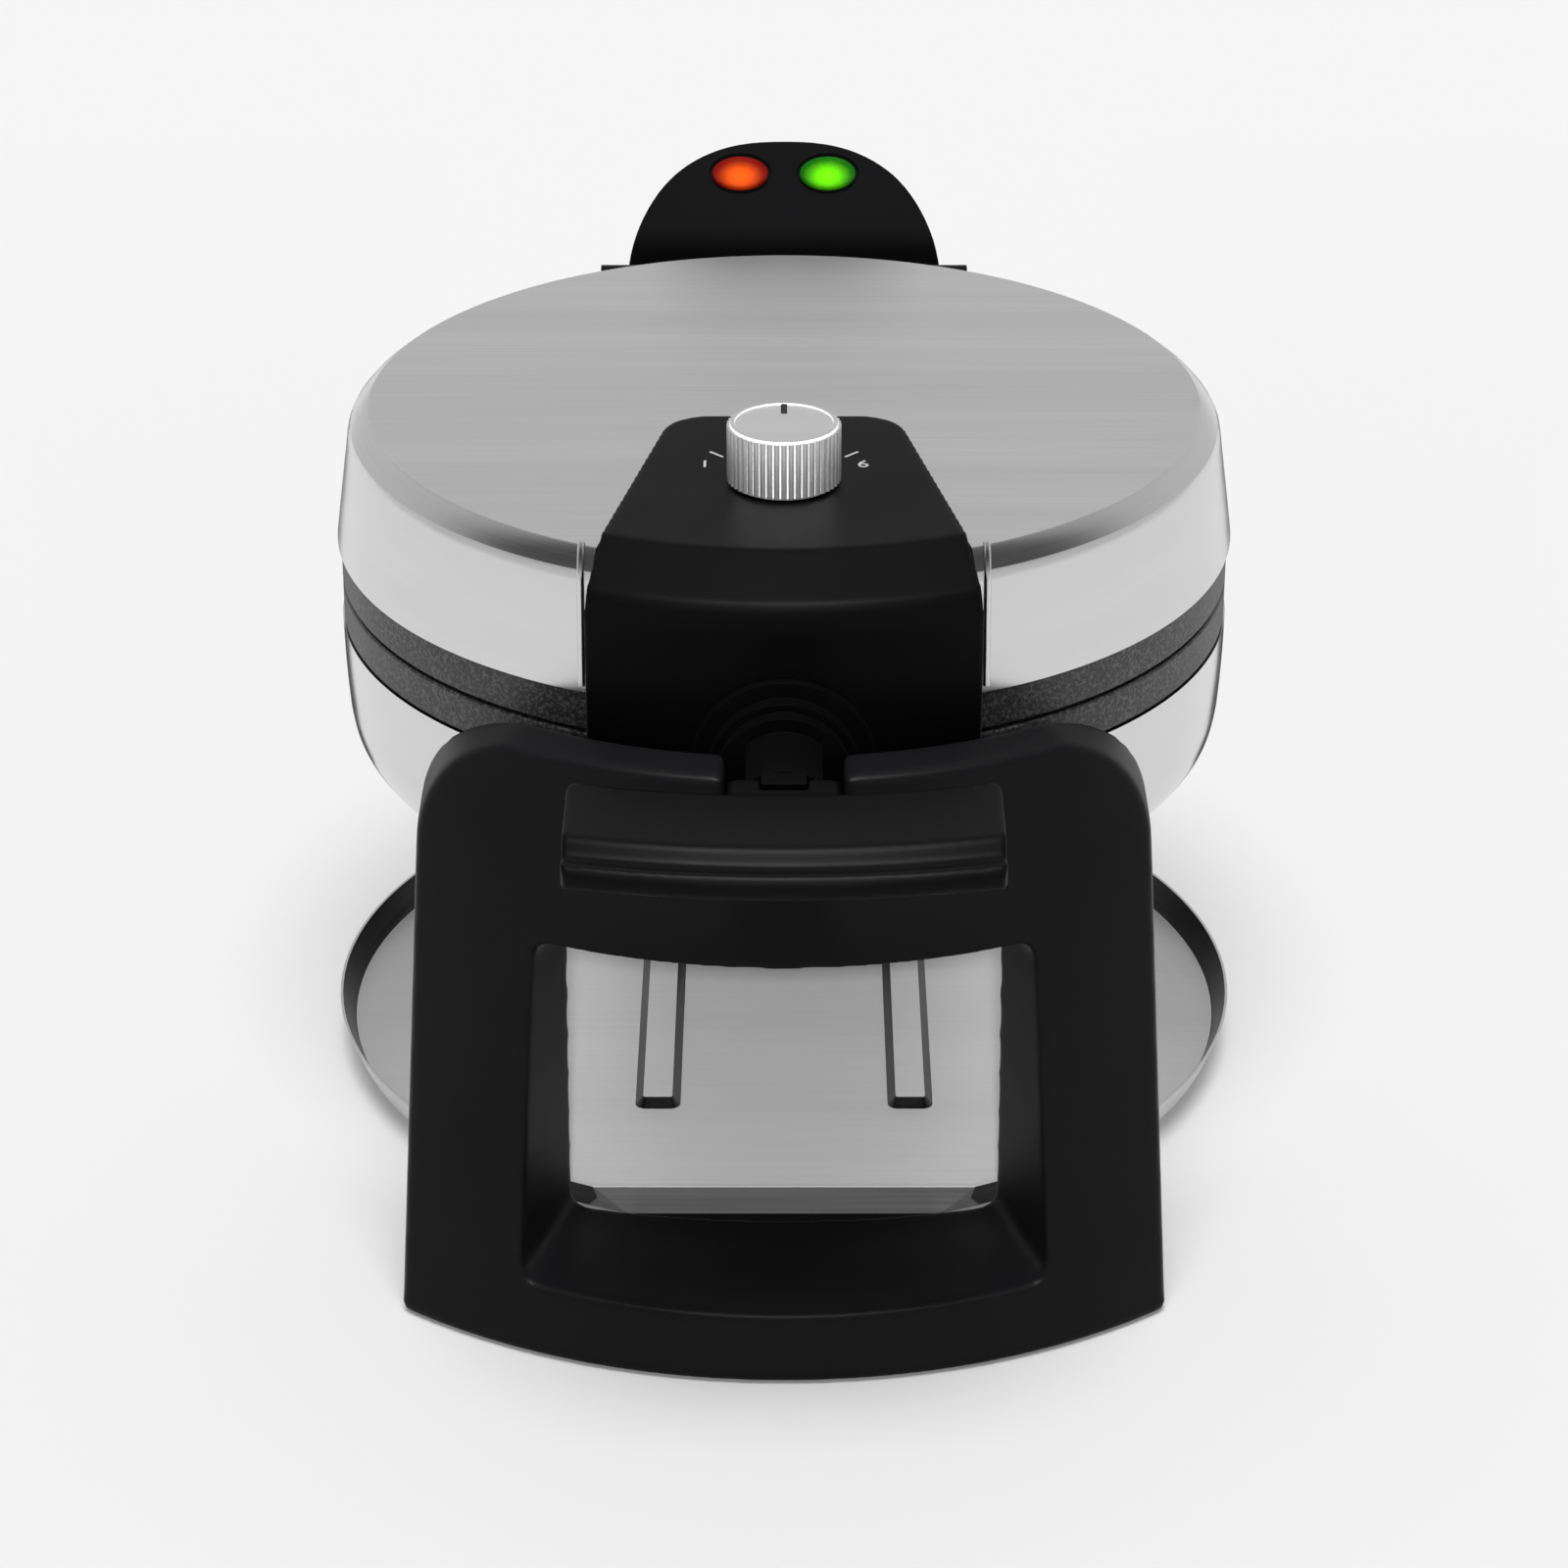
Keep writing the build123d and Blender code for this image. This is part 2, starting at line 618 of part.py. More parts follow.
def tower_arch(inset):
    """Front outline of the tower: spread foot, upright sides and a round crown."""
    half = TOWER_HALF - inset
    foot = TOWER_FOOT_HALF - inset
    rise = TOWER_CROWN_Z - TOWER_SHOULDER_Z - inset
    shares = ((1.01, -0.3), (1, 0), (0.91, 0.37), (0.69, 0.745), (0.315, 0.968), (0, 1))
    crown = [(half * a, TOWER_SHOULDER_Z + rise * b) for a, b in shares]
    crown += [(-x, z) for x, z in reversed(crown[:-1])]
    foot_z = UNDERSIDE_Z - 40
    return make_face(
        [
            Spline(*crown),
            Line(crown[-1], (-half - 3, 120)),
            Line((-half - 3, 120), (-foot, foot_z)),
            Line((-foot, foot_z), (foot, foot_z)),
            Line((foot, foot_z), (half + 3, 120)),
            Line((half + 3, 120), crown[0]),
        ]
    )


def tower_form(inset):
    """Solid form of the tower, its crown falling away behind the leaning face."""
    near, far = TOWER_FRONT_Y - 10, TOWER_BACK_Y + COVER_DEPTH + 10
    outline = tower_arch(inset)
    ends = []
    for y in (near, far):
        drop = TOWER_FALL * (y - TOWER_FRONT_Y)
        ends.append(Plane.XZ.offset(-y) * Pos(0, -drop) * outline)
    arch = loft(ends, ruled=True)
    low = UNDERSIDE_Z + inset
    lean = (FACE_TOP_Y - TOWER_FRONT_Y) / (FACE_TOP_Z - FACE_TURN_Z)
    above = TOWER_CROWN_Z + 8
    side = side_profile(
        (
            (TOWER_FRONT_Y - 6 + inset, low),
            (TOWER_FRONT_Y + inset, 90),
            (TOWER_FRONT_Y + inset, FACE_TURN_Z),
            (TOWER_FRONT_Y + inset + lean * (above - FACE_TURN_Z), above),
            (TOWER_BACK_Y + COVER_DEPTH - inset, above),
            (TOWER_BACK_Y + COVER_DEPTH - inset, low),
        ),
        80,
        {2: 14 - inset},
    )
    return arch & side


def face_plane(x, z):
    """Plane on the leaning indicator face of the tower."""
    rise = FACE_TOP_Z - FACE_TURN_Z
    run = FACE_TOP_Y - TOWER_FRONT_Y
    length = hypot(rise, run)
    y = TOWER_FRONT_Y + (z - FACE_TURN_Z) * run / rise
    return Plane((x, y, z), x_dir=(1, 0, 0), z_dir=(0, -rise / length, run / length))


def rear_tower():
    """Hollow tower with the spin bearing housing and the two lamp windows."""
    outer = tower_form(0) & block(-90, 90, 100, TOWER_BACK_Y, -1, 230)
    hollow = tower_form(TOWER_WALL) & block(-90, 90, 100, 230, -1, 230)
    tower = outer - hollow
    tower += along_y(BUSH_R + 4, TOWER_FRONT_Y + 1, TOWER_FRONT_Y + 12)
    stop = along_y(22, TOWER_FRONT_Y + 1, TOWER_FRONT_Y + 17)
    stop -= along_y(14.6, TOWER_FRONT_Y, TOWER_FRONT_Y + 18)
    stop &= block(-40, 40, 130, 160, 100, SPIN_Z - 3.0)
    tower += stop
    tower -= along_y(BUSH_R, TOWER_FRONT_Y - 1, TOWER_FRONT_Y + 13)
    for x in (-LENS_X, LENS_X):
        place = face_plane(x, LENS_Z)
        tower -= extrude(place * Ellipse(9.3, 6.0), -0.7)
        tower -= extrude(place * Ellipse(7.6, 4.5), -6)
    tower += block(-90, 90, 100, TOWER_BACK_Y, UNDERSIDE_Z, BASE_TOP_Z + TOWER_WALL) & outer
    for x in (-1, 1):
        tower += upright(4.5, BASE_TOP_Z, 14, x * 30, 154)
        tower += along_y(4.2, TOWER_FRONT_Y - 3, TOWER_BACK_Y, 30, x * 44)
        tower += along_y(4.0, TOWER_FRONT_Y + 1, TOWER_BACK_Y, 170, x * 36)
        tower -= foot_form(x * REAR_FOOT_X, REAR_FOOT_Y, 0.1)
    tower -= block(-BASE_HALF - 0.3, BASE_HALF + 0.3, 100, BASE_BACK_Y + 0.3, -1, BASE_TOP_Z)
    for x, y in base_screw_places()[2:]:
        tower -= upright(BASE_SCREW_R, 0, 13, x, y)
    return tower


def tower_cover():
    """Back cover of the tower with the round cord opening low down."""
    cover = tower_form(0) & block(-90, 90, TOWER_BACK_Y, 230, -1, 230)
    return cover - along_y(5.5, TOWER_BACK_Y - 1, TOWER_BACK_Y + 9, 26)


def spin_bush():
    """Flanged plain bearing for the shaft."""
    bush = along_y(BUSH_R, TOWER_FRONT_Y, TOWER_FRONT_Y + 13)
    return bush - along_y(SHAFT_R + RUNNING_GAP, TOWER_FRONT_Y - 1, TOWER_FRONT_Y + 14)


def lens(x):
    """Domed oval lens pushed into its window from the front."""
    place = face_plane(x, LENS_Z)
    dome = extrude(place.offset(-0.7) * Ellipse(8.3, 5.0), 2.3)
    dome = fillet(dome.edges().sort_by(Axis.Y)[0], 1.4)
    return dome + extrude(place.offset(-0.7) * Ellipse(7.4, 4.3), -5.5)


def lamp_board():
    """Small board behind the lenses with two lamp bulbs."""
    place = face_plane(0, LENS_Z)
    board = extrude(place.offset(-11) * Rectangle(38, 9), -1.6)
    for x in (-LENS_X, LENS_X):
        bulb = face_plane(x, LENS_Z).offset(-11) * Circle(2.5)
        board += extrude(bulb, 4)
    return board


def terminal_block():
    """Screw terminals where the supply meets the shaft wiring."""
    body = block(-16, 16, TOWER_FRONT_Y + 3, TOWER_FRONT_Y + 14, 70, 84)
    for x in (-10, 0, 10):
        body -= along_y(2.6, TOWER_FRONT_Y + 8, TOWER_FRONT_Y + 15, 80, x)
        body -= upright(1.8, 69, 76, x, TOWER_FRONT_Y + 8)
    return body


# Front stand, base and tray


def crescent(z, front, back, half):
    """Plan section of the stand: a curved front and a curved back."""
    arcs = []
    for reach, radius in (front, back):
        centre = radius - reach
        edge = centre - (radius**2 - half**2) ** 0.5
        arcs.append(((-half, edge), (0, -reach), (half, edge)))
    near, far = arcs
    outline = make_face(
        [
            ThreePointArc(*near),
            Line(near[2], far[2]),
            ThreePointArc(far[2], far[1], far[0]),
            Line(far[0], near[0]),
        ]
    )
    return Pos(0, 0, z) * outline


def window_section(y):
    """Rounded window outline at one depth, narrower towards the back."""
    depth = y - WINDOW_LIP_Y
    low_half = WINDOW_LOW_HALF - 0.338 * depth
    high_half = WINDOW_HIGH_HALF - 0.417 * depth
    low = WINDOW_LOW_Z + 0.04 * depth
    outline = make_face(
        Polyline(
            (-low_half, low),
            (low_half, low),
            (high_half, WINDOW_HIGH_Z),
            (-high_half, WINDOW_HIGH_Z),
            close=True,
        )
    )
    return Plane.XZ.offset(-y) * fillet(outline.vertices(), 4)


def stand_top_cut():
    """Cone that lets the top of the stand fall away towards its curved front."""
    reach, radius = STAND_BACK_TOP
    slope = radius + 60
    cone = turned(
        (
            (0, UNDERSIDE_Z),
            (slope, UNDERSIDE_Z),
            (slope, STAND_TOP_Z - STAND_TOP_FALL * (slope - radius)),
            (radius, STAND_TOP_Z),
            (0, STAND_TOP_Z),
        )
    )
    return Pos(0, radius - reach, 0) * cone


def front_stand():
    """Leaning curved moulding with a tapered window and an open bearing saddle."""
    foot = crescent(UNDERSIDE_Z, STAND_FRONT_FOOT, STAND_BACK_FOOT, 99.5)
    top = crescent(STAND_TOP_Z + 2, STAND_FRONT_TOP, STAND_BACK_TOP, 99.5)
    body = loft([foot, top], ruled=True)
    outline = (
        (-STAND_FOOT_HALF, 0),
        (STAND_FOOT_HALF, 0),
        (STAND_TOP_HALF, STAND_TOP_Z),
        (-STAND_TOP_HALF, STAND_TOP_Z),
    )
    body &= front_profile(outline, -230, -60, {2: STAND_CORNER_R, 3: STAND_CORNER_R})
    body &= stand_top_cut()
    body -= loft([window_section(WINDOW_LIP_Y - 15), window_section(-115)], ruled=True)
    body -= along_y(SADDLE_R, -190, -120)
    body -= block(-SADDLE_R, SADDLE_R, -190, -120, SPIN_Z, 170)
    body -= block(-BASE_HALF - 0.3, BASE_HALF + 0.3, BASE_FRONT_Y - 0.3, -100, -1, BASE_TOP_Z)
    for x in (-FRONT_FOOT_X, FRONT_FOOT_X):
        body -= foot_form(x, FRONT_FOOT_Y, 0.1)
    for x, y in base_screw_places()[:2]:
        body -= upright(BASE_SCREW_R, 0, 13, x, y)
    return body


def foot_form(x, y, grow=0.0):
    """Rubber foot let into the underside."""
    return upright(FOOT_R + grow, -grow, FOOT_TOP_Z, x, y)


def base_plate():
    """Steel tie plate under the tray joining stand and tower."""
    plate = block(-BASE_HALF, BASE_HALF, BASE_FRONT_Y, BASE_BACK_Y, BASE_LOW_Z, BASE_TOP_Z)
    corners = plate.edges().filter_by(Axis.Z)
    plate = fillet(corners, 6)
    for x, y in base_screw_places():
        plate -= upright(2.2, 0, 6, x, y)
    return plate


def base_screw_places():
    """Two screws at the stand end and two at the tower end."""
    return ((-30, -152), (30, -152), (-30, 154), (30, 154))


def base_screw(x, y):
    """Flat headed screw up through the base plate."""
    head = upright(4.0, BASE_LOW_Z - 0.8, BASE_LOW_Z, x, y)
    return head + upright(BASE_SCREW_R, BASE_LOW_Z - 0.1, 12, x, y)


def drip_tray():
    """Round pressed tray with two straight edges and two raised ribs."""
    rim = TRAY_RIM_Z
    under = BASE_TOP_Z
    floor = under + TRAY_SHEET
    solid = turned(((0, under), (TRAY_FLOOR_R, under), (TRAY_R, rim), (0, rim)))
    solid &= block(-140, 140, -TRAY_CUT_Y, TRAY_CUT_Y, 0, 40)
    hollow = turned(
        (
            (0, floor),
            (TRAY_FLOOR_R - TRAY_SHEET, floor),
            (TRAY_R - TRAY_SHEET - 0.1, rim + 0.01),
            (0, rim + 0.01),
        )
    )
    inner_y = TRAY_CUT_Y - TRAY_SHEET
    tray = solid - (hollow & block(-140, 140, -inner_y, inner_y, 0, 40))
    for x in (-RIB_X, RIB_X):
        outline = RectangleRounded(RIB_WIDTH, RIB_LENGTH, 3)
        tray += extrude(Pos(x, 0, floor - 0.2) * outline, RIB_RISE + 0.2, taper=38)
        channel = RectangleRounded(RIB_WIDTH - 2.4, RIB_LENGTH - 2.4, 2)
        tray -= extrude(Pos(x, 0, under) * channel, RIB_RISE, taper=38)
    return tray


def build():
    """Every node by name."""
    nodes = {
        "front_stand": front_stand(),
        "base_plate": base_plate(),
        "rear_tower": rear_tower(),
        "tower_back_cover": tower_cover(),
        "spin_bush": spin_bush(),
        "power_lens": lens(-LENS_X),
        "ready_lens": lens(LENS_X),
        "lamp_board": lamp_board(),
        "terminal_block": terminal_block(),
        "drip_tray": drip_tray(),
        "lower_cover": lower_cover(),
        "lower_plate": Pos(0, 0, LOWER_RIM_Z) * Rot(180, 0, 0) * grid_plate(),
        "lower_heater": heater(LOWER_BACK_Z - HEATER_TUBE_R),
        "lower_shield": heat_shield(LOWER_SHIELD_Z, -1),
        "lower_journal": lower_journal(),
        "hinge_block": hinge_block(),
        "hinge_pin": hinge_pin(),
        "spin_shaft": spin_shaft(),
        "stop_collar": stop_collar(),
        "upper_cover": upper_cover(),
        "upper_plate": Pos(0, 0, UPPER_RIM_Z) * grid_plate(),
        "upper_heater": heater(UPPER_BACK_Z + HEATER_TUBE_R),
        "upper_shield": heat_shield(UPPER_SHIELD_Z, 1),
        "hinge_leaf": hinge_leaf(),
        "control_housing": control_housing(),
        "thermostat": thermostat(),
        "lid_journal": lid_journal(),
        "dial_spindle": dial_spindle(),
        "dial_knob": dial_knob(),
        "dial_pointer": dial_pointer(),
        "handle_paddle": handle_paddle(),
        "handle_pin": along_x(HANDLE_PIN_R, -EAR_HALF, EAR_HALF, FOLD_Y, FOLD_Z),
    }
    for name, x, y in (
        ("foot_front_left", -FRONT_FOOT_X, FRONT_FOOT_Y),
        ("foot_front_right", FRONT_FOOT_X, FRONT_FOOT_Y),
        ("foot_rear_left", -REAR_FOOT_X, REAR_FOOT_Y),
        ("foot_rear_right", REAR_FOOT_X, REAR_FOOT_Y),
    ):
        nodes[name] = foot_form(x, y)
    for count, (x, y) in enumerate(base_screw_places(), start=1):
        nodes[f"base_screw_{count}"] = base_screw(x, y)
    return nodes


os.makedirs("parts", exist_ok=True)
for node_name, shape in build().items():
    export_step(Pos(0, FRAME_SHIFT, 0) * shape, f"parts/{node_name}.step")
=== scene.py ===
"""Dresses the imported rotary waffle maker: finer skins, small fittings, materials, stage."""

import json
import math

import bmesh
import bpy
from bpy.props import FloatProperty, FloatVectorProperty, IntProperty, PointerProperty
from mathutils import Matrix, Vector


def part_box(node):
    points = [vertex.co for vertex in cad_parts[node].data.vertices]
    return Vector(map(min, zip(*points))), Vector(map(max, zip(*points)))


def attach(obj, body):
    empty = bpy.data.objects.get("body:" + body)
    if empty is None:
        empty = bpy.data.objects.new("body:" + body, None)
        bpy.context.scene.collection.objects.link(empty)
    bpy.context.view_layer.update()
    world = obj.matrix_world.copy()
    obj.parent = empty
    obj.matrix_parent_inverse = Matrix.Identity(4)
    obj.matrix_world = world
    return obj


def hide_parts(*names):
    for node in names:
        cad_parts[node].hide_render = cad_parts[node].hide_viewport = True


bl_info = {
    "name": "Waffle maker dressing",
    "version": (1, 0, 0),
    "blender": (4, 5, 0),
    "location": "View3D > Sidebar > Waffle maker",
    "description": "Skins, fittings, materials and stage for a rotary waffle maker",
    "category": "Object",
}

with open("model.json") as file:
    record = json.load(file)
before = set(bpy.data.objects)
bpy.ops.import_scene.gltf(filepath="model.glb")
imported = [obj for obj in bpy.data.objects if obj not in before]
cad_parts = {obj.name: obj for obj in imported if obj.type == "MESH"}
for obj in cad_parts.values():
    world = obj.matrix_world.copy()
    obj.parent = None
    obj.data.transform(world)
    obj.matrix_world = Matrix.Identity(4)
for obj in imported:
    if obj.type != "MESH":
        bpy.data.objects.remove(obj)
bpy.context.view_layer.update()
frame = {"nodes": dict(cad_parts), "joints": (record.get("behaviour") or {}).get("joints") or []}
NODES = frame["nodes"]
JOINTS = {joint["name"]: joint for joint in frame["joints"]}
DIAL = Vector(JOINTS["dial_turn"]["pos_m"])
CENTRE_Y = Vector(JOINTS["flip"]["pos_m"]).y
MM = 0.001

# Points nearer than these are merged and shorter edges dropped, in metres; smaller angles are flat
CAD_GAP = 2e-6
LATHE_GAP = 1e-7
NO_LENGTH = 1e-8
FLAT_DEGREES = 0.4

# The camera as solved from the photograph, and the lamp beside it: metres, degrees and
# millimetres
CAMERA_BACK = 1.13415
CAMERA_HEIGHT = 0.640
CAMERA_DOWN = 26.53
CAMERA_LENS = 103.44
SENSOR_WIDTH = 36.0
TRAY_LAMP_DOWN = 30.2
TRAY_LAMP_SPREAD = 9

# Studio brightness from the front horizon (0) over the top (0.5) to the back horizon (1)
SKY_TONES = (
    (0.0, 0.7),
    (0.14, 0.65),
    (0.24, 0.4),
    (0.32, 0.2),
    (0.4, 0.06),
    (0.52, 0.06),
    (0.6, 0.4),
    (0.68, 0.58),
    (0.85, 0.64),
    (1.0, 0.66),
)
BACKDROP_TONE = 0.88
SIDE_TONE = 0.6
FLOOR_GLOW = 0.87
FLOOR_GLOW_SHARE = 0.15
FLOOR_HALF = 6.0

# Pieces whose edges the edge lamp draws
BLACK_PIECES = (
    "stand_moulding",
    "tower_moulding",
    "housing_moulding",
    "neck_moulding",
    "paddle_moulding",
    "journal_bracket",
)

# The softest edges: remesh size in metres, smoothing passes, share of the faces kept, and the
# height in metres under which edges stay level
STAND_EDGES = (0.0007, 60, 0.25, 0.003)
HOUSING_EDGES = (0.0008, 8, 0.5, 0.0)
PADDLE_EDGES = (0.0006, 6, 0.6, 0.0)

# Mouldings and pressings: piece, node, body, slot, finish, and soft edges or a radius in metres
MOULDINGS = (
    ("stand_moulding", "front_stand", "stand", "black_plastic", "stand", STAND_EDGES),
    ("tower_moulding", "rear_tower", "stand", "black_plastic", "tower", 0.0008),
    ("tower_lid", "tower_back_cover", "stand", "black_plastic", "stand", 0.0008),
    ("housing_moulding", "control_housing", "lid", "black_plastic", "housing", HOUSING_EDGES),
    ("neck_moulding", "lid_journal", "lid", "black_plastic", "housing", 0.0006),
    ("paddle_moulding", "handle_paddle", "handle", "black_plastic", "handle", PADDLE_EDGES),
    ("hinge_carrier", "hinge_block", "lower_unit", "black_plastic", "stand", 0.0006),
    ("hinge_wing", "hinge_leaf", "lid", "black_plastic", "stand", 0.0006),
    ("journal_bracket", "lower_journal", "lower_unit", "black_plastic", "housing", 0.0005),
    ("tray_pressing", "drip_tray", "tray", "tray_steel", "tray", 0.0002),
)

# Finish of each CAD node; feet are rubber and the rest is steel
NODE_FINISHES = {
    "front_stand": "stand",
    "base_plate": "paint",
    "rear_tower": "stand",
    "tower_back_cover": "stand",
    "spin_bush": "brass",
    "power_lens": "red",
    "ready_lens": "green",
    "lamp_board": "board",
    "terminal_block": "terminal",
    "drip_tray": "tray",
    "lower_cover": "bowl",
    "lower_plate": "casting",
    "upper_plate": "casting",
    "lower_heater": "heater",
    "upper_heater": "heater",
    "lower_journal": "housing",
    "hinge_block": "stand",
    "hinge_leaf": "stand",
    "upper_cover": "top",
    "control_housing": "housing",
    "thermostat": "control",
    "lid_journal": "housing",
    "dial_knob": "dial",
    "dial_pointer": "pointer",
    "handle_paddle": "handle",
}

# SHADED is the tone of the tray's front wall: painted shade
SHADED = (0.1, 0.1, 0.1)
PALE_STEEL = (0.55, 0.55, 0.56)
OXIDE = (0.2, 0.19, 0.18)
BRASS = (0.66, 0.47, 0.2)

# Brushed metals: material, brushing, tone or share of the cover steel's, spread of the tone,
# roughness and its spread, bump, fineness of the lines, size of the streaks, metallic
METALS = {
    # The flat top gets a paler tone than the band and bowl of the same steel: painted light on the
    # top
    "top": ("brushed_top", "straight", 1.03, 0.08, 0.4, 0.07, 0.14, 1300, 55, 1.0),
    "band": ("brushed_band", "around", 0.96, 0.03, 0.24, 0.04, 0.06, 1500, 90, 1.0),
    "bowl": ("polished_bowl", "around", 0.96, 0.02, 0.17, 0.03, 0.04, 1500, 60, 1.0),
    "tray": ("brushed_tray", "straight", 0.8, 0.05, 0.42, 0.06, 0.12, 1600, 30, 0.6),
    # dial and dial_top: lit and shaded copies of one metal; the sides and flutes are paler and
    # mostly diffuse (painted light), the top darker
    "dial": ("satin_dial", "around", (0.8,) * 3, 0.04, 0.36, 0.05, 0.06, 2400, 200, 0.15),
    "dial_top": ("turned_dial", "around", (0.66,) * 3, 0.04, 0.34, 0.05, 0.06, 2400, 200, 0.9),
    # tray_wall and tray_front: darker copies of the tray steel, painted shade and painted dark
    # reflection on the rib walls, inner rim, cut corners and front wall
    "tray_wall": ("rolled_tray_wall", "around", (0.065,) * 3, 0.03, 0.3, 0.05, 0.08, 900, 60, 1.0),
    "tray_front": ("rolled_tray_front", "straight", SHADED, 0.04, 0.4, 0.05, 0.08, 900, 60, 0.6),
    "steel": ("plain_steel", "straight", PALE_STEEL, 0.05, 0.32, 0.06, 0.1, 2200, 120, 1.0),
    "heater": ("oxidised_tube", "straight", OXIDE, 0.05, 0.5, 0.08, 0.2, 900, 200, 1.0),
    "brass": ("turned_brass", "around", BRASS, 0.05, 0.3, 0.05, 0.1, 1500, 100, 1.0),
}

# Plastics and paints: material, tone or multiple of the black plastic's, roughness, pitting and
# gloss
PLASTICS = {
    "stand": ("stand_plastic", 3.0, 0.36, 0.12, 0.065),
    "tower": ("tower_plastic", 3.0, 0.36, 0.12, 0.065),
    "housing": ("housing_plastic", 1.0, 0.44, 0.12, 0.055),
    "handle": ("handle_plastic", 1.0, 0.4, 0.12, 0.075),
    "rubber": ("foot_rubber", (0.02,) * 3, 0.8, 0.3, 0.11),
    "paint": ("satin_paint", (0.012,) * 3, 0.5, 0.12, 0.11),
    "mark": ("print_white", (0.55,) * 3, 0.6, 0.05, 0.11),
    "pointer": ("pointer_black", (0.02,) * 3, 0.5, 0.05, 0.11),
    "board": ("board_green", (0.03, 0.16, 0.07), 0.5, 0.12, 0.11),
    "terminal": ("terminal_white", (0.7, 0.69, 0.65), 0.5, 0.12, 0.11),
    "control": ("control_beige", (0.5, 0.44, 0.32), 0.6, 0.12, 0.11),
}

# Lamp lenses: node, colour over the lamp, colour at the rim, strength
LENSES = {
    "red": ("power_lens", (0.95, 0.105, 0.004), (0.16, 0.002, 0.001), 0.58),
    "green": ("ready_lens", (0.16, 0.9, 0.0), (0.004, 0.1, 0.001), 0.62),
}

# Glow of a lens in metres: how far its middle lies over the lens's own, and half its width and
# height
LAMP_RISE = 0.0008
GLOW_WIDTH = 0.0085
GLOW_HEIGHT = 0.0052

# Outlines of the covers in millimetres: radius or distance past the flat top, and height
LID_CREST = ((0.0, 190.5), (0.35, 190.3), (3.1, 188.05), (5.0, 185.9), (5.6, 184.6), (5.9, 183.2))
LID_BAND = ((119.0, 173.5), (120.3, 164.0))
LID_RIM = ((121.45, 155.4), (121.5, 154.7), (121.2, 154.45), (120.7, 154.45), (116.7, 183.6))
LID_CEILING = ((3.2, 187.3), (-1.0, 189.5))
BOWL_BEND = (
    (80.0, 70.8),
    (88.6, 74.2),
    (98.0, 80.2),
    (107.4, 87.5),
    (114.4, 94.4),
    (118.2, 99.8),
    (119.7, 105.5),
    (120.3, 112.0),
    (120.8, 122.0),
    (121.0, 132.2),
)

# How far each folded edge lies from the middle, in millimetres
HEM_SIDE = 50.75

# Plan of the lid's housing in millimetres about the cover axis: half width and place
HOUSING_BACK = (30.0, -19.0)
HOUSING_FRONT = (50.0, -119.0)

# The tray in plan, in metres about the cover axis: half width of its front wall and of that with
# its cut corners, where that wall starts and where the rim does. With the rib faces' area they
# pick the faces that get painted shade
TRAY_FRONT_HALF = 0.051
TRAY_CORNER_HALF = 0.085
TRAY_FRONT_Y = -0.09
TRAY_RIM = 0.1
RIB_FACE_AREA = 1e-5

# The dial in metres: ribs set in from its outline, their radius, and how much shorter they are
RIB_INSET = 0.0009
RIB_RADIUS = 0.0008
RIB_SHORTER = 0.0013

# Printing on the panel, in metres from the dial's axis and above the panel
TICK_DEGREES = 44
TICK_LENGTH = 0.005
TICK_HALF_WIDTH = 0.00035
FIGURE_ASIDE = 0.0205
FIGURE_BEHIND = 0.0115
FIGURE_SIZE = 0.0064
TICK_RISE = 0.00008
FIGURE_RISE = 0.00003
FIGURE_RELIEF = 0.00006


# Small mesh helpers


def new_object(name, mesh):
    """A named object for a finished mesh, linked to the scene."""
    thing = bpy.data.objects.new(name, mesh)
    bpy.context.scene.collection.objects.link(thing)
    return thing


def mesh_from(name, verts, faces):
    """A mesh from plain lists."""
    mesh = bpy.data.meshes.new(name)
    mesh.from_pydata(verts, [], faces)
    mesh.update()
    return mesh


def bake_modifiers(thing):
    """Turns the evaluated object into a plain mesh and drops its modifiers."""
    bpy.context.view_layer.update()
    graph = bpy.context.evaluated_depsgraph_get()
    mesh = bpy.data.meshes.new_from_object(thing.evaluated_get(graph))
    thing.modifiers.clear()
    thing.data = mesh
    return thing


def soften(mesh, degrees):
    """Smooth shading with hard creases above an angle."""
    tool = bmesh.new()
    tool.from_mesh(mesh)
    limit = math.radians(degrees)
    for face in tool.faces:
        face.smooth = True
    for edge in tool.edges:
        edge.smooth = len(edge.link_faces) == 2 and edge.calc_face_angle(0.0) < limit
    tool.to_mesh(mesh)
    tool.free()


def lathe(name, profile, steps):
    """A closed (radius, height) outline in millimetres turned about the cover axis."""
    tool = bmesh.new()
    rings = []
    for step in range(steps):
        angle = 2 * math.pi * step / steps
        ring = []
        for radius, height in profile:
            place = (
                radius * MM * math.cos(angle),
                radius * MM * math.sin(angle) + CENTRE_Y,
                height * MM,
            )
            ring.append(tool.verts.new(place))
        rings.append(ring)
    count = len(profile)
    for step in range(steps):
        near, far = rings[step], rings[(step + 1) % steps]
        for index in range(count):
            after = (index + 1) % count
            tool.faces.new((near[index], far[index], far[after], near[after]))
    bmesh.ops.remove_doubles(tool, verts=tool.verts, dist=LATHE_GAP)
    bmesh.ops.dissolve_degenerate(tool, edges=tool.edges, dist=NO_LENGTH)
    bmesh.ops.recalc_face_normals(tool, faces=tool.faces)
    mesh = bpy.data.meshes.new(name)
    tool.to_mesh(mesh)
    tool.free()
    return new_object(name, mesh)


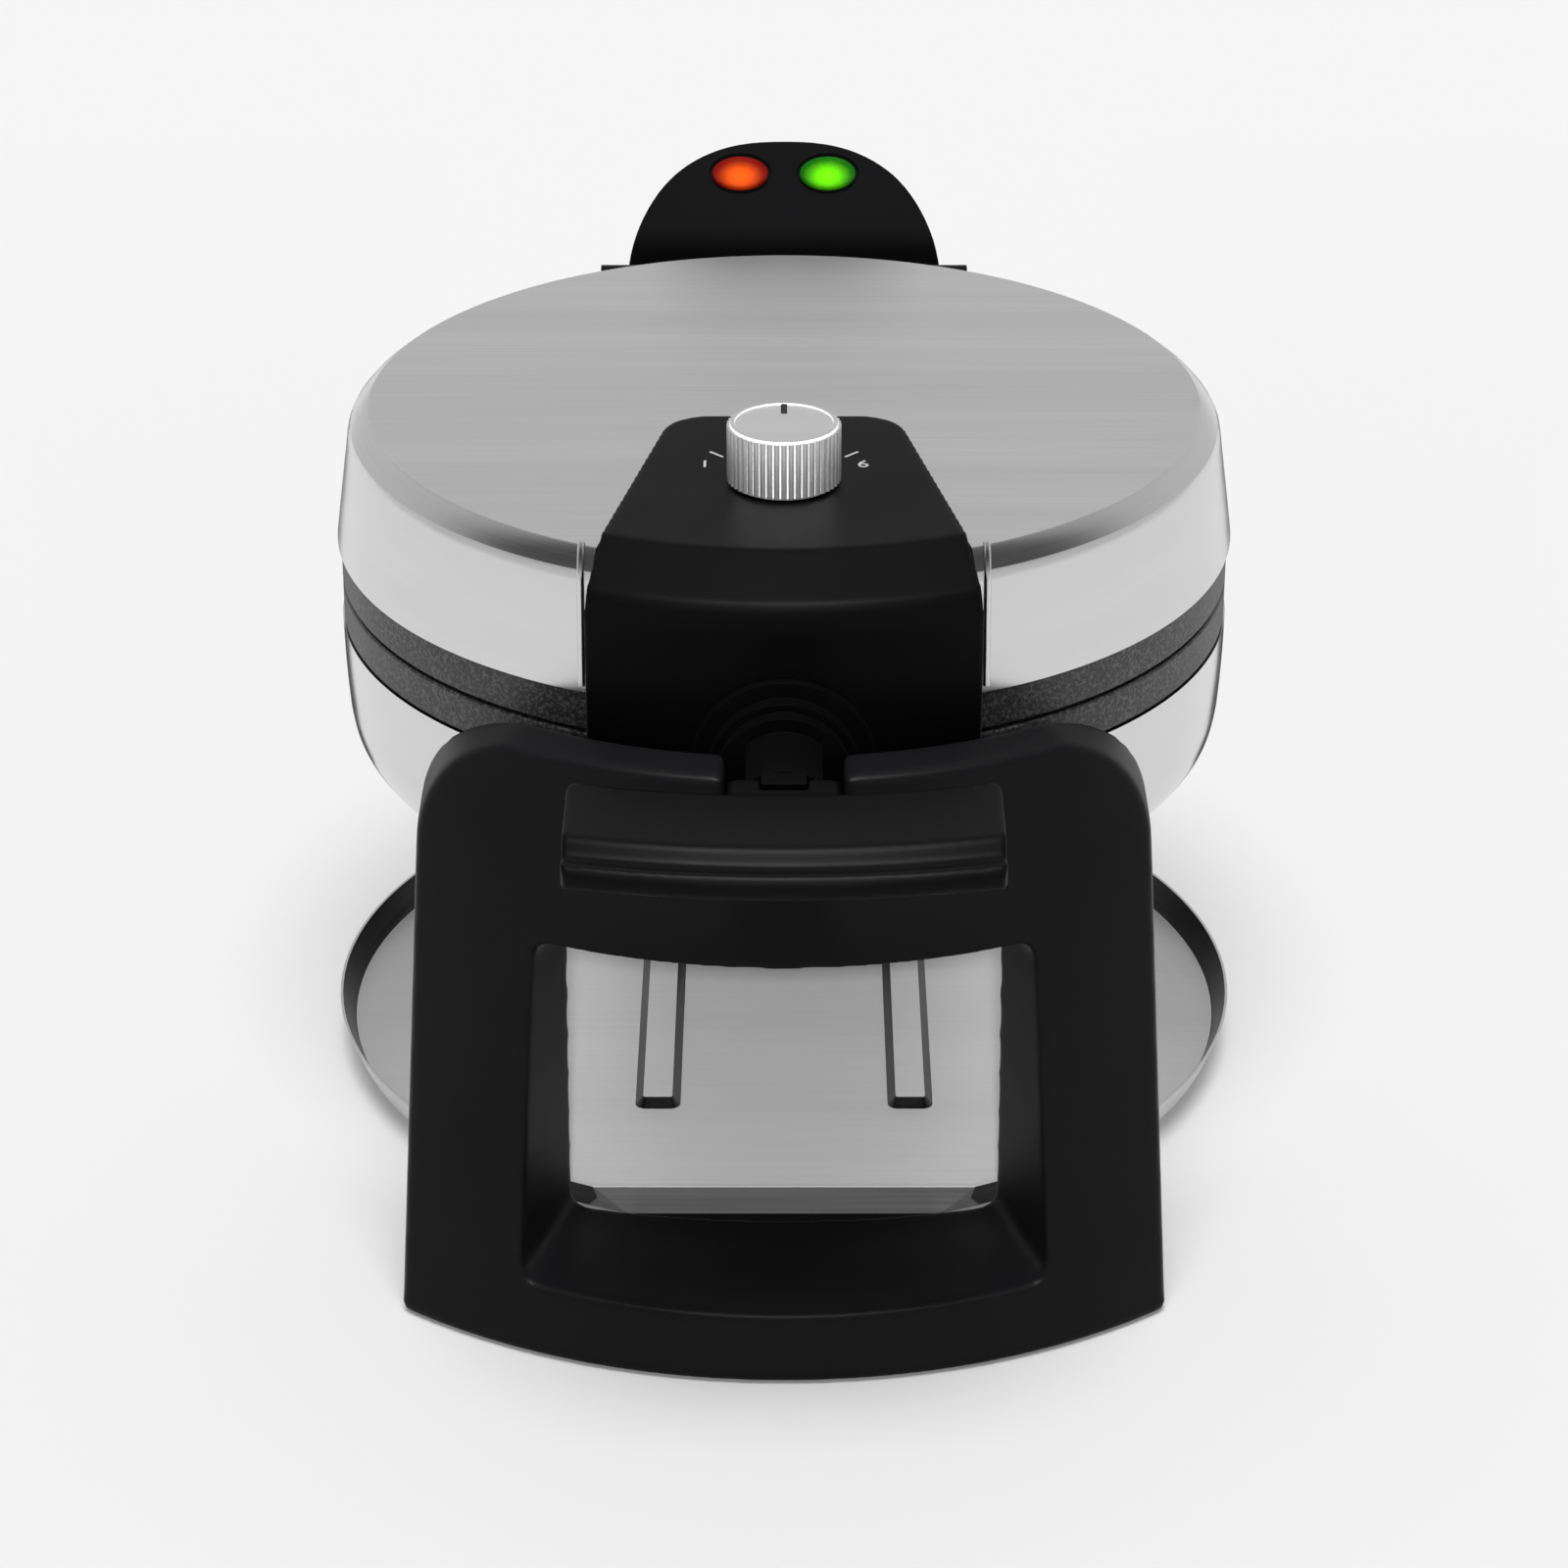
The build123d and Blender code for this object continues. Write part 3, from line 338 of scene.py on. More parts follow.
def curve_through(points, per_span):
    """Catmull-Rom points through a short list of (a, b) pairs."""
    out = []
    padded = [points[0], *points, points[-1]]
    for index in range(1, len(padded) - 2):
        p0, p1, p2, p3 = (Vector(p) for p in padded[index - 1 : index + 3])
        for step in range(per_span):
            t = step / per_span
            spot = 0.5 * (
                2 * p1
                + (p2 - p0) * t
                + (2 * p0 - 5 * p1 + 4 * p2 - p3) * t * t
                + (3 * p1 - p0 - 3 * p2 + p3) * t * t * t
            )
            out.append(tuple(spot))
    out.append(tuple(points[-1]))
    return out


def tube(name, points, radius, sides=12):
    """A round bead along a list of points in metres, capped."""
    tool = bmesh.new()
    rings = []
    for index, point in enumerate(points):
        before = points[max(index - 1, 0)]
        after = points[min(index + 1, len(points) - 1)]
        ahead = (Vector(after) - Vector(before)).normalized()
        side = ahead.orthogonal().normalized()
        if rings:
            side = (last_side - ahead * last_side.dot(ahead)).normalized()
        last_side = side
        up = ahead.cross(side)
        ring = []
        for step in range(sides):
            angle = 2 * math.pi * step / sides
            offset = side * math.cos(angle) + up * math.sin(angle)
            ring.append(tool.verts.new(Vector(point) + offset * radius))
        rings.append(ring)
    for near, far in zip(rings, rings[1:]):
        for step in range(sides):
            after = (step + 1) % sides
            tool.faces.new((near[step], near[after], far[after], far[step]))
    tool.faces.new(list(reversed(rings[0])))
    tool.faces.new(rings[-1])
    bmesh.ops.recalc_face_normals(tool, faces=tool.faces)
    mesh = bpy.data.meshes.new(name)
    tool.to_mesh(mesh)
    tool.free()
    return new_object(name, mesh)


def refined(name, node, bevel=0.0, crease=18.0):
    """A merged copy of a CAD solid with true flats, rounded edges and smooth shading."""
    mesh = NODES[node].data.copy()
    tool = bmesh.new()
    tool.from_mesh(mesh)
    bmesh.ops.remove_doubles(tool, verts=tool.verts, dist=CAD_GAP)
    bmesh.ops.dissolve_limit(
        tool, angle_limit=math.radians(FLAT_DEGREES), verts=tool.verts, edges=tool.edges
    )
    tool.to_mesh(mesh)
    tool.free()
    mesh.materials.clear()
    thing = new_object(name, mesh)
    soften(mesh, crease)
    if bevel:
        round_edges(thing, bevel, crease)
    return thing


def round_edges(thing, width, crease):
    """Rounds the sharp edges of a piece and keeps its flats flat."""
    rounding = thing.modifiers.new("rounding", "BEVEL")
    rounding.width = width
    rounding.segments = 3
    rounding.limit_method = "ANGLE"
    rounding.angle_limit = math.radians(crease)
    rounding.harden_normals = True
    rounding.miter_outer = "MITER_ARC"
    return bake_modifiers(thing)


def smoothing(thing, name, passes):
    """A smoothing modifier at half strength."""
    modifier = thing.modifiers.new(name, "SMOOTH")
    modifier.factor = 0.5
    modifier.iterations = passes
    return modifier


def softened(name, node, voxel, passes, keep, sole):
    """A CAD solid with its edges rolled over softly; below sole they only move sideways."""
    thing = refined(name, node)
    even = thing.modifiers.new("even_mesh", "REMESH")
    even.mode = "VOXEL"
    even.voxel_size = voxel
    bake_modifiers(thing)
    rolled = smoothing(thing, "rolled_edges", passes)
    if sole:
        upper = thing.vertex_groups.new(name="above_sole")
        above = [spot.index for spot in thing.data.vertices if spot.co.z > sole]
        upper.add(above, 1.0, "REPLACE")
        rolled.vertex_group = upper.name
        level = smoothing(thing, "level_sole", passes)
        level.use_z = False
        level.vertex_group = upper.name
        level.invert_vertex_group = True
    lighter = thing.modifiers.new("lighter", "DECIMATE")
    lighter.ratio = keep
    bake_modifiers(thing)
    thing.vertex_groups.clear()
    soften(thing.data, 60)
    return thing


def cut_with(thing, cutter):
    """Boolean difference, then the cutter is thrown away."""
    cut = thing.modifiers.new("cut", "BOOLEAN")
    cut.operation = "DIFFERENCE"
    cut.solver = "EXACT"
    cut.object = cutter
    bake_modifiers(thing)
    bpy.data.objects.remove(cutter)
    return thing


def settle(thing, body, slot, *nodes):
    """Parents a finished piece to the empty of the body it rides on and hides the CAD solids it
    stands for.
    """
    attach(thing, body)
    if nodes:
        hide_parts(*nodes)
    return thing


def paint(thing, material):
    """One material over the whole piece."""
    thing.data.materials.clear()
    thing.data.materials.append(material)
    return thing


# Shader node helpers


def add(tree, kind, place=(0, 0), **values):
    """A node with its plain properties set."""
    node = tree.nodes.new(kind)
    node.location = place
    for key, value in values.items():
        setattr(node, key, value)
    return node


def effect_group(name, inputs, outputs):
    """An empty shader group with named number sockets, and its two end nodes."""
    tree = bpy.data.node_groups.new(name, "ShaderNodeTree")
    for label, default in inputs:
        socket = tree.interface.new_socket(label, in_out="INPUT", socket_type="NodeSocketFloat")
        socket.default_value = default
    for label in outputs:
        tree.interface.new_socket(label, in_out="OUTPUT", socket_type="NodeSocketFloat")
    return tree, add(tree, "NodeGroupInput", (-900, 0)), add(tree, "NodeGroupOutput", (700, 0))


def math_node(tree, operation, first, second=None, clamp=False):
    """A math node fed by sockets or plain numbers."""
    node = add(tree, "ShaderNodeMath", operation=operation, use_clamp=clamp)
    for index, source in enumerate((first, second)):
        if source is None:
            continue
        if isinstance(source, (int, float)):
            node.inputs[index].default_value = source
        else:
            tree.links.new(source, node.inputs[index])
    return node.outputs[0]


def straight_brushing():
    """Fine lines running along X, with slow streaks of lighter and darker metal."""
    tree, given, made = effect_group(
        "straight_brushing", (("Fineness", 1800.0), ("Streaks", 60.0)), ("Lines", "Streak")
    )
    coords = add(tree, "ShaderNodeTexCoord", (-900, -300))
    for label, source, stretch, detail in (
        ("Lines", "Fineness", 0.012, 3.0),
        ("Streak", "Streaks", 0.05, 2.0),
    ):
        place = add(tree, "ShaderNodeVectorMath", operation="MULTIPLY")
        place.inputs[1].default_value = (stretch, 1.0, 1.0)
        tree.links.new(coords.outputs["Object"], place.inputs[0])
        noise = add(tree, "ShaderNodeTexNoise")
        noise.inputs["Detail"].default_value = detail
        tree.links.new(place.outputs[0], noise.inputs["Vector"])
        tree.links.new(given.outputs[source], noise.inputs["Scale"])
        tree.links.new(noise.outputs["Fac"], made.inputs[label])
    return tree


def round_brushing():
    """Fine lines that run round the cover's axis, as a spun or rolled band has."""
    tree, given, made = effect_group(
        "round_brushing", (("Fineness", 1500.0), ("Streaks", 90.0)), ("Lines", "Streak")
    )
    coords = add(tree, "ShaderNodeTexCoord", (-900, -300))
    split = add(tree, "ShaderNodeSeparateXYZ")
    tree.links.new(coords.outputs["Object"], split.inputs[0])
    across = math_node(tree, "SUBTRACT", split.outputs["Y"], CENTRE_Y)
    angle = math_node(tree, "ARCTAN2", across, split.outputs["X"])
    around = math_node(tree, "MULTIPLY", angle, 0.0022)
    first = math_node(tree, "MULTIPLY", split.outputs["X"], split.outputs["X"])
    second = math_node(tree, "MULTIPLY", across, across)
    radius = math_node(tree, "SQRT", math_node(tree, "ADD", first, second))
    join = add(tree, "ShaderNodeCombineXYZ")
    tree.links.new(around, join.inputs[0])
    tree.links.new(radius, join.inputs[1])
    tree.links.new(split.outputs["Z"], join.inputs[2])
    for label, source in (("Lines", "Fineness"), ("Streak", "Streaks")):
        noise = add(tree, "ShaderNodeTexNoise")
        noise.inputs["Detail"].default_value = 3.0
        tree.links.new(join.outputs[0], noise.inputs["Vector"])
        tree.links.new(given.outputs[source], noise.inputs["Scale"])
        tree.links.new(noise.outputs["Fac"], made.inputs[label])
    return tree


def skin_grain():
    """Moulded plastic: very fine pitting and slow patches of handling sheen."""
    tree, given, made = effect_group(
        "skin_grain", (("Pitting", 2600.0), ("Patches", 28.0)), ("Pits", "Sheen")
    )
    coords = add(tree, "ShaderNodeTexCoord", (-900, -300))
    for label, source, detail in (("Pits", "Pitting", 2.0), ("Sheen", "Patches", 4.0)):
        noise = add(tree, "ShaderNodeTexNoise")
        noise.inputs["Detail"].default_value = detail
        tree.links.new(coords.outputs["Object"], noise.inputs["Vector"])
        tree.links.new(given.outputs[source], noise.inputs["Scale"])
        tree.links.new(noise.outputs["Fac"], made.inputs[label])
    return tree


def coating_fleck():
    """Speckled non-stick coating: pale flecks in a dark ground."""
    tree, given, made = effect_group(
        "coating_fleck", (("Fleck size", 1000.0), ("Amount", 0.47)), ("Fleck", "Height")
    )
    coords = add(tree, "ShaderNodeTexCoord", (-900, -300))
    noise = add(tree, "ShaderNodeTexNoise")
    noise.inputs["Detail"].default_value = 3.0
    noise.inputs["Roughness"].default_value = 0.7
    tree.links.new(coords.outputs["Object"], noise.inputs["Vector"])
    tree.links.new(given.outputs["Fleck size"], noise.inputs["Scale"])
    above = math_node(tree, "SUBTRACT", noise.outputs["Fac"], given.outputs["Amount"])
    fleck = math_node(tree, "MULTIPLY", above, 6.0, clamp=True)
    tree.links.new(fleck, made.inputs["Fleck"])
    tree.links.new(noise.outputs["Fac"], made.inputs["Height"])
    return tree


class Kit:
    """The shared effect groups, built once."""

    straight = None
    around = None
    grain = None
    fleck = None


def start_material(name):
    """A fresh material with its tree and Principled shader."""
    material = bpy.data.materials.new(name)
    material.use_nodes = True
    tree = material.node_tree
    return material, tree, tree.nodes["Principled BSDF"]


def blend_colours(tree, factor, dark, light):
    """A colour between two, chosen by a mask."""
    ramp = add(tree, "ShaderNodeMix", (-300, 200), data_type="RGBA")
    tree.links.new(factor, ramp.inputs["Factor"])
    ramp.inputs["A"].default_value = (*dark, 1)
    ramp.inputs["B"].default_value = (*light, 1)
    return ramp.outputs["Result"]


def blend_values(tree, factor, low, high):
    """A number between two, chosen by a mask."""
    spread = add(tree, "ShaderNodeMapRange", (-300, -100))
    tree.links.new(factor, spread.inputs["Value"])
    spread.inputs["To Min"].default_value = low
    spread.inputs["To Max"].default_value = high
    return spread.outputs["Result"]


def bump(tree, height, strength, distance):
    """A bump from a height mask."""
    node = add(tree, "ShaderNodeBump", (-300, -300))
    node.inputs["Strength"].default_value = strength
    node.inputs["Distance"].default_value = distance
    tree.links.new(height, node.inputs["Height"])
    return node.outputs["Normal"]


def metal(name, group, tone, spread, rough, rough_spread, strength, fineness, streaks, pure):
    """Brushed metal from one of the brushing groups."""
    material, tree, shader = start_material(name)
    effect = add(tree, "ShaderNodeGroup", (-700, 0), node_tree=group)
    effect.inputs["Fineness"].default_value = fineness
    effect.inputs["Streaks"].default_value = streaks
    dark = tuple(max(c - spread, 0) for c in tone)
    light = tuple(min(c + spread, 1) for c in tone)
    mixed = math_node(tree, "ADD", effect.outputs["Lines"], effect.outputs["Streak"])
    mask = math_node(tree, "SUBTRACT", mixed, 0.5, clamp=True)
    tree.links.new(blend_colours(tree, mask, dark, light), shader.inputs["Base Color"])
    roughness = blend_values(
        tree, effect.outputs["Lines"], rough - rough_spread, rough + rough_spread
    )
    tree.links.new(roughness, shader.inputs["Roughness"])
    tree.links.new(bump(tree, effect.outputs["Lines"], strength, 0.00004), shader.inputs["Normal"])
    shader.inputs["Metallic"].default_value = pure
    return material


def moulded(name, tone, rough, pits, gloss):
    """Moulded plastic, rubber or paint with fine pitting."""
    material, tree, shader = start_material(name)
    effect = add(tree, "ShaderNodeGroup", (-700, 0), node_tree=Kit.grain)
    dark = tuple(c * 0.8 for c in tone)
    light = tuple(min(c * 1.25, 1) for c in tone)
    tree.links.new(
        blend_colours(tree, effect.outputs["Sheen"], dark, light), shader.inputs["Base Color"]
    )
    roughness = blend_values(tree, effect.outputs["Sheen"], rough - 0.07, rough + 0.07)
    tree.links.new(roughness, shader.inputs["Roughness"])
    tree.links.new(bump(tree, effect.outputs["Pits"], pits, 0.00005), shader.inputs["Normal"])
    shader.inputs["Specular IOR Level"].default_value = gloss
    return material


def coated(name, dark, light, rough):
    """Dark speckled casting."""
    material, tree, shader = start_material(name)
    effect = add(tree, "ShaderNodeGroup", (-700, 0), node_tree=Kit.fleck)
    tree.links.new(
        blend_colours(tree, effect.outputs["Fleck"], dark, light), shader.inputs["Base Color"]
    )
    roughness = blend_values(tree, effect.outputs["Height"], rough - 0.12, rough + 0.12)
    tree.links.new(roughness, shader.inputs["Roughness"])
    tree.links.new(bump(tree, effect.outputs["Height"], 0.35, 0.00008), shader.inputs["Normal"])
    return material


def glowing(name, centre, core, edge, strength):
    """Coloured lens, brightest over its lamp."""
    material, tree, shader = start_material(name)
    coords = add(tree, "ShaderNodeTexCoord", (-1100, 0))
    away = add(tree, "ShaderNodeVectorMath", (-900, 0), operation="SUBTRACT")
    away.inputs[1].default_value = centre
    tree.links.new(coords.outputs["Object"], away.inputs[0])
    squeeze = add(tree, "ShaderNodeVectorMath", (-800, 0), operation="MULTIPLY")
    squeeze.inputs[1].default_value = (1 / GLOW_WIDTH, 0, 1 / GLOW_HEIGHT)
    tree.links.new(away.outputs[0], squeeze.inputs[0])
    size = add(tree, "ShaderNodeVectorMath", (-700, 0), operation="LENGTH")
    tree.links.new(squeeze.outputs[0], size.inputs[0])
    noise = add(tree, "ShaderNodeTexNoise", (-700, -200))
    noise.inputs["Scale"].default_value = 900.0
    tree.links.new(coords.outputs["Object"], noise.inputs["Vector"])
    uneven = math_node(tree, "MULTIPLY", noise.outputs["Fac"], 0.12)
    reach = math_node(tree, "ADD", size.outputs["Value"], uneven)
    faded = add(tree, "ShaderNodeMapRange", (-500, 0), interpolation_type="SMOOTHSTEP")
    faded.inputs["From Min"].default_value = 0.15
    faded.inputs["From Max"].default_value = 1.0
    tree.links.new(reach, faded.inputs["Value"])
    colour = blend_colours(tree, faded.outputs["Result"], core, edge)
    tree.links.new(colour, shader.inputs["Base Color"])
    tree.links.new(colour, shader.inputs["Emission Color"])
    shader.inputs["Emission Strength"].default_value = strength
    shader.inputs["Roughness"].default_value = 0.25
    shader.inputs["Specular IOR Level"].default_value = 0.2
    return material


class Finish:
    """Materials by name, made once from the colour settings."""

    made = {}


def toned(tone, base):
    """A tone as it is given, or the base tone times a number."""
    if isinstance(tone, float):
        return tuple(min(c * tone, 1) for c in base)
    return tone


def make_finishes(colours):
    """Every material of the maker."""
    Kit.straight = straight_brushing()
    Kit.around = round_brushing()
    Kit.grain = skin_grain()
    Kit.fleck = coating_fleck()
    made = {}
    for key, (name, brushing, tone, *rest) in METALS.items():
        made[key] = metal(name, getattr(Kit, brushing), toned(tone, colours.steel), *rest)
    for key, (name, tone, *rest) in PLASTICS.items():
        made[key] = moulded(name, toned(tone, colours.plastic), *rest)
    made["casting"] = coated("coated_casting", (0.016, 0.016, 0.017), (0.11, 0.11, 0.113), 0.46)
    for key, (node, core, edge, strength) in LENSES.items():
        low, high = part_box(node)
        centre = (low + high) / 2 + Vector((0, 0, LAMP_RISE))
        made[key] = glowing(f"lens_{key}", centre, core, edge, strength)
    Finish.made = made


# Settings


class CoverSizes(bpy.types.PropertyGroup):
    """Sizes of the round covers."""

    flat_radius: FloatProperty(
        name="Flat radius", description="Radius of the flat top", default=0.1118, unit="LENGTH"
    )
    hem_radius: FloatProperty(
        name="Hem radius",
        description="Half thickness of the folded edge",
        default=0.001,
        unit="LENGTH",
    )
    steps: IntProperty(name="Steps", description="Facets round a cover", default=288, min=24)


class DialSizes(bpy.types.PropertyGroup):
    """Sizes of the dial and its scale."""

    flutes: IntProperty(name="Flutes", description="Ribs round the dial", default=48, min=8)
    scale_radius: FloatProperty(
        name="Scale radius",
        description="Radius of the scale's ticks",
        default=0.0228,
        unit="LENGTH",
    )


class FinishColours(bpy.types.PropertyGroup):
    """Colours that a user would change."""

    steel: FloatVectorProperty(
        name="Steel", description="Cover steel", subtype="COLOR", default=(0.7, 0.7, 0.7)
    )
    plastic: FloatVectorProperty(
        name="Plastic",
        description="Moulded parts",
        subtype="COLOR",
        default=(0.0018, 0.0018, 0.002),
    )
    floor: FloatVectorProperty(
        name="Floor", description="Stage floor", subtype="COLOR", default=(0.86, 0.86, 0.86)
    )


# Outline of the lid's housing, in millimetres about the cover axis


def housing_outline(grow, corner=13.0, steps=10, past=25.0):
    """Plan points of the control housing from its back right round its front to its back left."""
    half_back, back = HOUSING_BACK[0] + grow, HOUSING_BACK[1] + grow
    half_front, front = HOUSING_FRONT[0] + grow, HOUSING_FRONT[1]
    lean = Vector((half_front - half_back, front - back)).normalized()
    reach = corner * math.tan(math.acos(lean.x) / 2)
    knee = Vector((half_back, back))
    start = Vector((half_back - reach, back))
    end = knee + lean * reach
    right = []
    for step in range(steps + 1):
        t = step / steps
        right.append((1 - t) ** 2 * start + 2 * t * (1 - t) * knee + t * t * end)
    right += [Vector((half_front, front)), Vector((half_front, front - past))]
    return [(p.x, p.y) for p in right] + [(-p.x, p.y) for p in reversed(right)]


def plan_prism(name, points, low, high):
    """Upright prism from plan points in millimetres about the cover axis."""
    count = len(points)
    verts = [(x * MM, y * MM + CENTRE_Y, low * MM) for x, y in points]
    verts += [(x * MM, y * MM + CENTRE_Y, high * MM) for x, y in points]
    faces = [tuple(range(count))[::-1], tuple(range(count, 2 * count))]
    for index in range(count):
        after = (index + 1) % count
        faces.append((index, after, count + after, count + index))
    mesh = mesh_from(name, verts, faces)
    tool = bmesh.new()
    tool.from_mesh(mesh)
    bmesh.ops.recalc_face_normals(tool, faces=tool.faces)
    tool.to_mesh(mesh)
    tool.free()
    return new_object(name, mesh)


# Pieces


class WAFFLE_OT_finishes(bpy.types.Operator):
    """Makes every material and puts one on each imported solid."""

    bl_idname = "waffle.finishes"
    bl_label = "Materials"

    def execute(self, context):
        make_finishes(context.scene.waffle_colours)
        for name, node in NODES.items():
            key = NODE_FINISHES.get(name, "rubber" if name.startswith("foot_") else "steel")
            paint(node, Finish.made[key])
        return {"FINISHED"}


class WAFFLE_OT_covers(bpy.types.Operator):
    """Finer skins for the two round covers, with the folded edge at the housing."""

    bl_idname = "waffle.covers"
    bl_label = "Round covers"

    def execute(self, context):
        sizes = context.scene.waffle_covers
        flat = sizes.flat_radius / MM
        lid = lid_skin(flat, sizes.steps)
        settle(lid, "lid", "brushed_cover", "upper_cover")
        settle(bowl_skin(sizes.steps), "lower_unit", "polished_cover", "lower_cover")
        for side, word in ((-1, "left"), (1, "right")):
            hem = cover_hem(f"hem_{word}", side * HEM_SIDE, flat, sizes.hem_radius)
            settle(hem, "lid", "brushed_cover")
        return {"FINISHED"}


def past_flat(points, flat):
    """Outline points given by their distance past the flat top's radius."""
    return [(flat + past, height) for past, height in points]


def lid_skin(flat, steps):
    """The lid's thin pressed cover, open where the control housing stands."""
    top, ceiling = 190.5, 189.5
    outline = [(0.0, top), (60.0, top), (flat - 0.5, top), *past_flat(LID_CREST, flat)]
    outline += [*LID_BAND, *LID_RIM, *past_flat(LID_CEILING, flat), (0.0, ceiling)]
    lid = lathe("lid_skin", outline, steps)
    cut_with(lid, plan_prism("cutter", housing_outline(grow=0.3), low=140, high=220))
    soften(lid.data, 14)
    lid.data.materials.clear()
    lid.data.materials.append(Finish.made["top"])
    lid.data.materials.append(Finish.made["band"])
    edge = (flat + 0.2) * MM
    # Faces on the flat top take its paler steel: painted light
    for face in lid.data.polygons:
        radius = math.hypot(face.center.x, face.center.y - CENTRE_Y)
        face.material_index = 1 if radius > edge else 0
    return lid


def bowl_skin(steps):
    """The lower cover's thin pressed bowl."""
    outer = [(0.0, 70.6), (50.0, 70.6), *curve_through(BOWL_BEND, 5)]
    inner = [(radius - 1.0, height + 0.5) for radius, height in reversed(BOWL_BEND[1:-1])]
    inner = [(120.0, 132.2), *inner, (80.0, 71.8), (0.0, 71.6)]
    bowl = lathe("bowl_skin", outer + inner, steps)
    soften(bowl.data, 40)
    return paint(bowl, Finish.made["bowl"])


def cover_hem(name, x, flat, bead):
    """The folded edge of the lid's cover along one side of the housing."""
    line = [(flat - 0.4, 190.45), *past_flat(LID_CREST[1:], flat), *LID_BAND, (121.2, 156.5)]
    run = []
    for radius, height in line:
        y = -math.sqrt(radius**2 - x**2)
        run.append(Vector((x * MM, y * MM + CENTRE_Y, height * MM)))
    hem = tube(name, run, bead)
    soften(hem.data, 50)
    return paint(hem, Finish.made["band"])


class WAFFLE_OT_mouldings(bpy.types.Operator):
    """Rounds the edges of the mouldings and the tray, and makes the lamp lenses."""

    bl_idname = "waffle.mouldings"
    bl_label = "Mouldings"

    def execute(self, context):
        for name, node, body, slot, finish, edges in MOULDINGS:
            if isinstance(edges, tuple):
                piece = softened(name, node, *edges)
            else:
                piece = refined(name, node, edges)
            paint(piece, Finish.made[finish])
            # The tray's walls get painted shade
            if node == "drip_tray":
                paint_tray_shade(piece)
            settle(piece, body, slot, node)
        for finish, (node, *_) in LENSES.items():
            piece = paint(refined(f"{finish}_lens", node), Finish.made[finish])
            piece.visible_glossy = False
            settle(piece, "stand", f"lens_{finish}", node)
        return {"FINISHED"}


def paint_tray_shade(tray):
    """Paints shade on the tray's front wall, drawn rim and rib walls: darker copies of the tray
    steel stand for shade and for the dark things they reflect.
    """
    tray.data.materials.append(Finish.made["tray_wall"])
    tray.data.materials.append(Finish.made["tray_front"])
    for face in tray.data.polygons:
        x, y = face.center.x, face.center.y - CENTRE_Y
        rise = face.normal.z
        radius = math.hypot(x, y)
        upright = abs(rise) <= 0.15 and face.area < RIB_FACE_AREA
        rib = radius < TRAY_RIM and (0.15 < abs(rise) < 0.93 or upright)
        inward = face.normal.x * x + face.normal.y * y < 0
        rim = radius >= TRAY_RIM and inward and abs(rise) < 0.9
        front = y < TRAY_FRONT_Y and rise < 0.5
        # The middle of the front wall gets the paler painted shade; the corners, ribs and inner
        # rim get the darker painted shade
        if front and abs(x) < TRAY_FRONT_HALF:
            face.material_index = 2
        elif front and abs(x) < TRAY_CORNER_HALF or rib or rim:
            face.material_index = 1


class WAFFLE_OT_dial(bpy.types.Operator):
    """Fluted dial and its printed scale."""

    bl_idname = "waffle.dial"
    bl_label = "Dial and scale"

    def execute(self, context):
        sizes = context.scene.waffle_dial
        low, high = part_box("dial_knob")
        base, top = low.z / MM, high.z / MM
        body = knob_body(base, top)
        flutes = knob_flutes(sizes.flutes, (high.x - low.x) / 2, low.z, high.z)
        piece = join_pieces("fluted_dial", body, flutes)
        piece.data.materials.append(Finish.made["dial"])
        piece.data.materials.append(Finish.made["dial_top"])
        settle(piece, "dial", "dial_metal", "dial_knob")
        for piece in dial_scale(sizes.scale_radius):
            paint(piece, Finish.made["mark"])
            settle(piece, "lid", "tray_steel")
        return {"FINISHED"}


def knob_body(base, top):
    """Core of the dial with a fine step under its flat top."""
    outline = [
        (0.0, base),
        (13.4, base),
        (14.0, base + 0.6),
        (14.0, top - 0.6),
        (13.7, top - 0.12),
        (13.3, top),
        (12.7, top),
        (12.5, top - 0.3),
        (0.0, top - 0.3),
    ]
    piece = lathe("dial_core", outline, 128)
    piece.data.transform(Matrix.Translation((DIAL.x, DIAL.y - CENTRE_Y, 0)))
    soften(piece.data, 30)
    for face in piece.data.polygons:
        # Upward faces take the darker copy and the sides the paler one: painted light on the sides
        face.material_index = 1 if face.normal.z > 0.6 else 0
    return piece


def geometry_tree(name, inputs):
    """An empty geometry tree with named inputs."""
    tree = bpy.data.node_groups.new(name, "GeometryNodeTree")
    tree.interface.new_socket("Geometry", in_out="INPUT", socket_type="NodeSocketGeometry")
    sockets = {}
    for label, kind, default in inputs:
        socket = tree.interface.new_socket(label, in_out="INPUT", socket_type=kind)
        socket.default_value = default
        sockets[label] = socket.identifier
    tree.interface.new_socket("Geometry", in_out="OUTPUT", socket_type="NodeSocketGeometry")
    given = tree.nodes.new("NodeGroupInput")
    made = tree.nodes.new("NodeGroupOutput")
    return tree, given, made, sockets


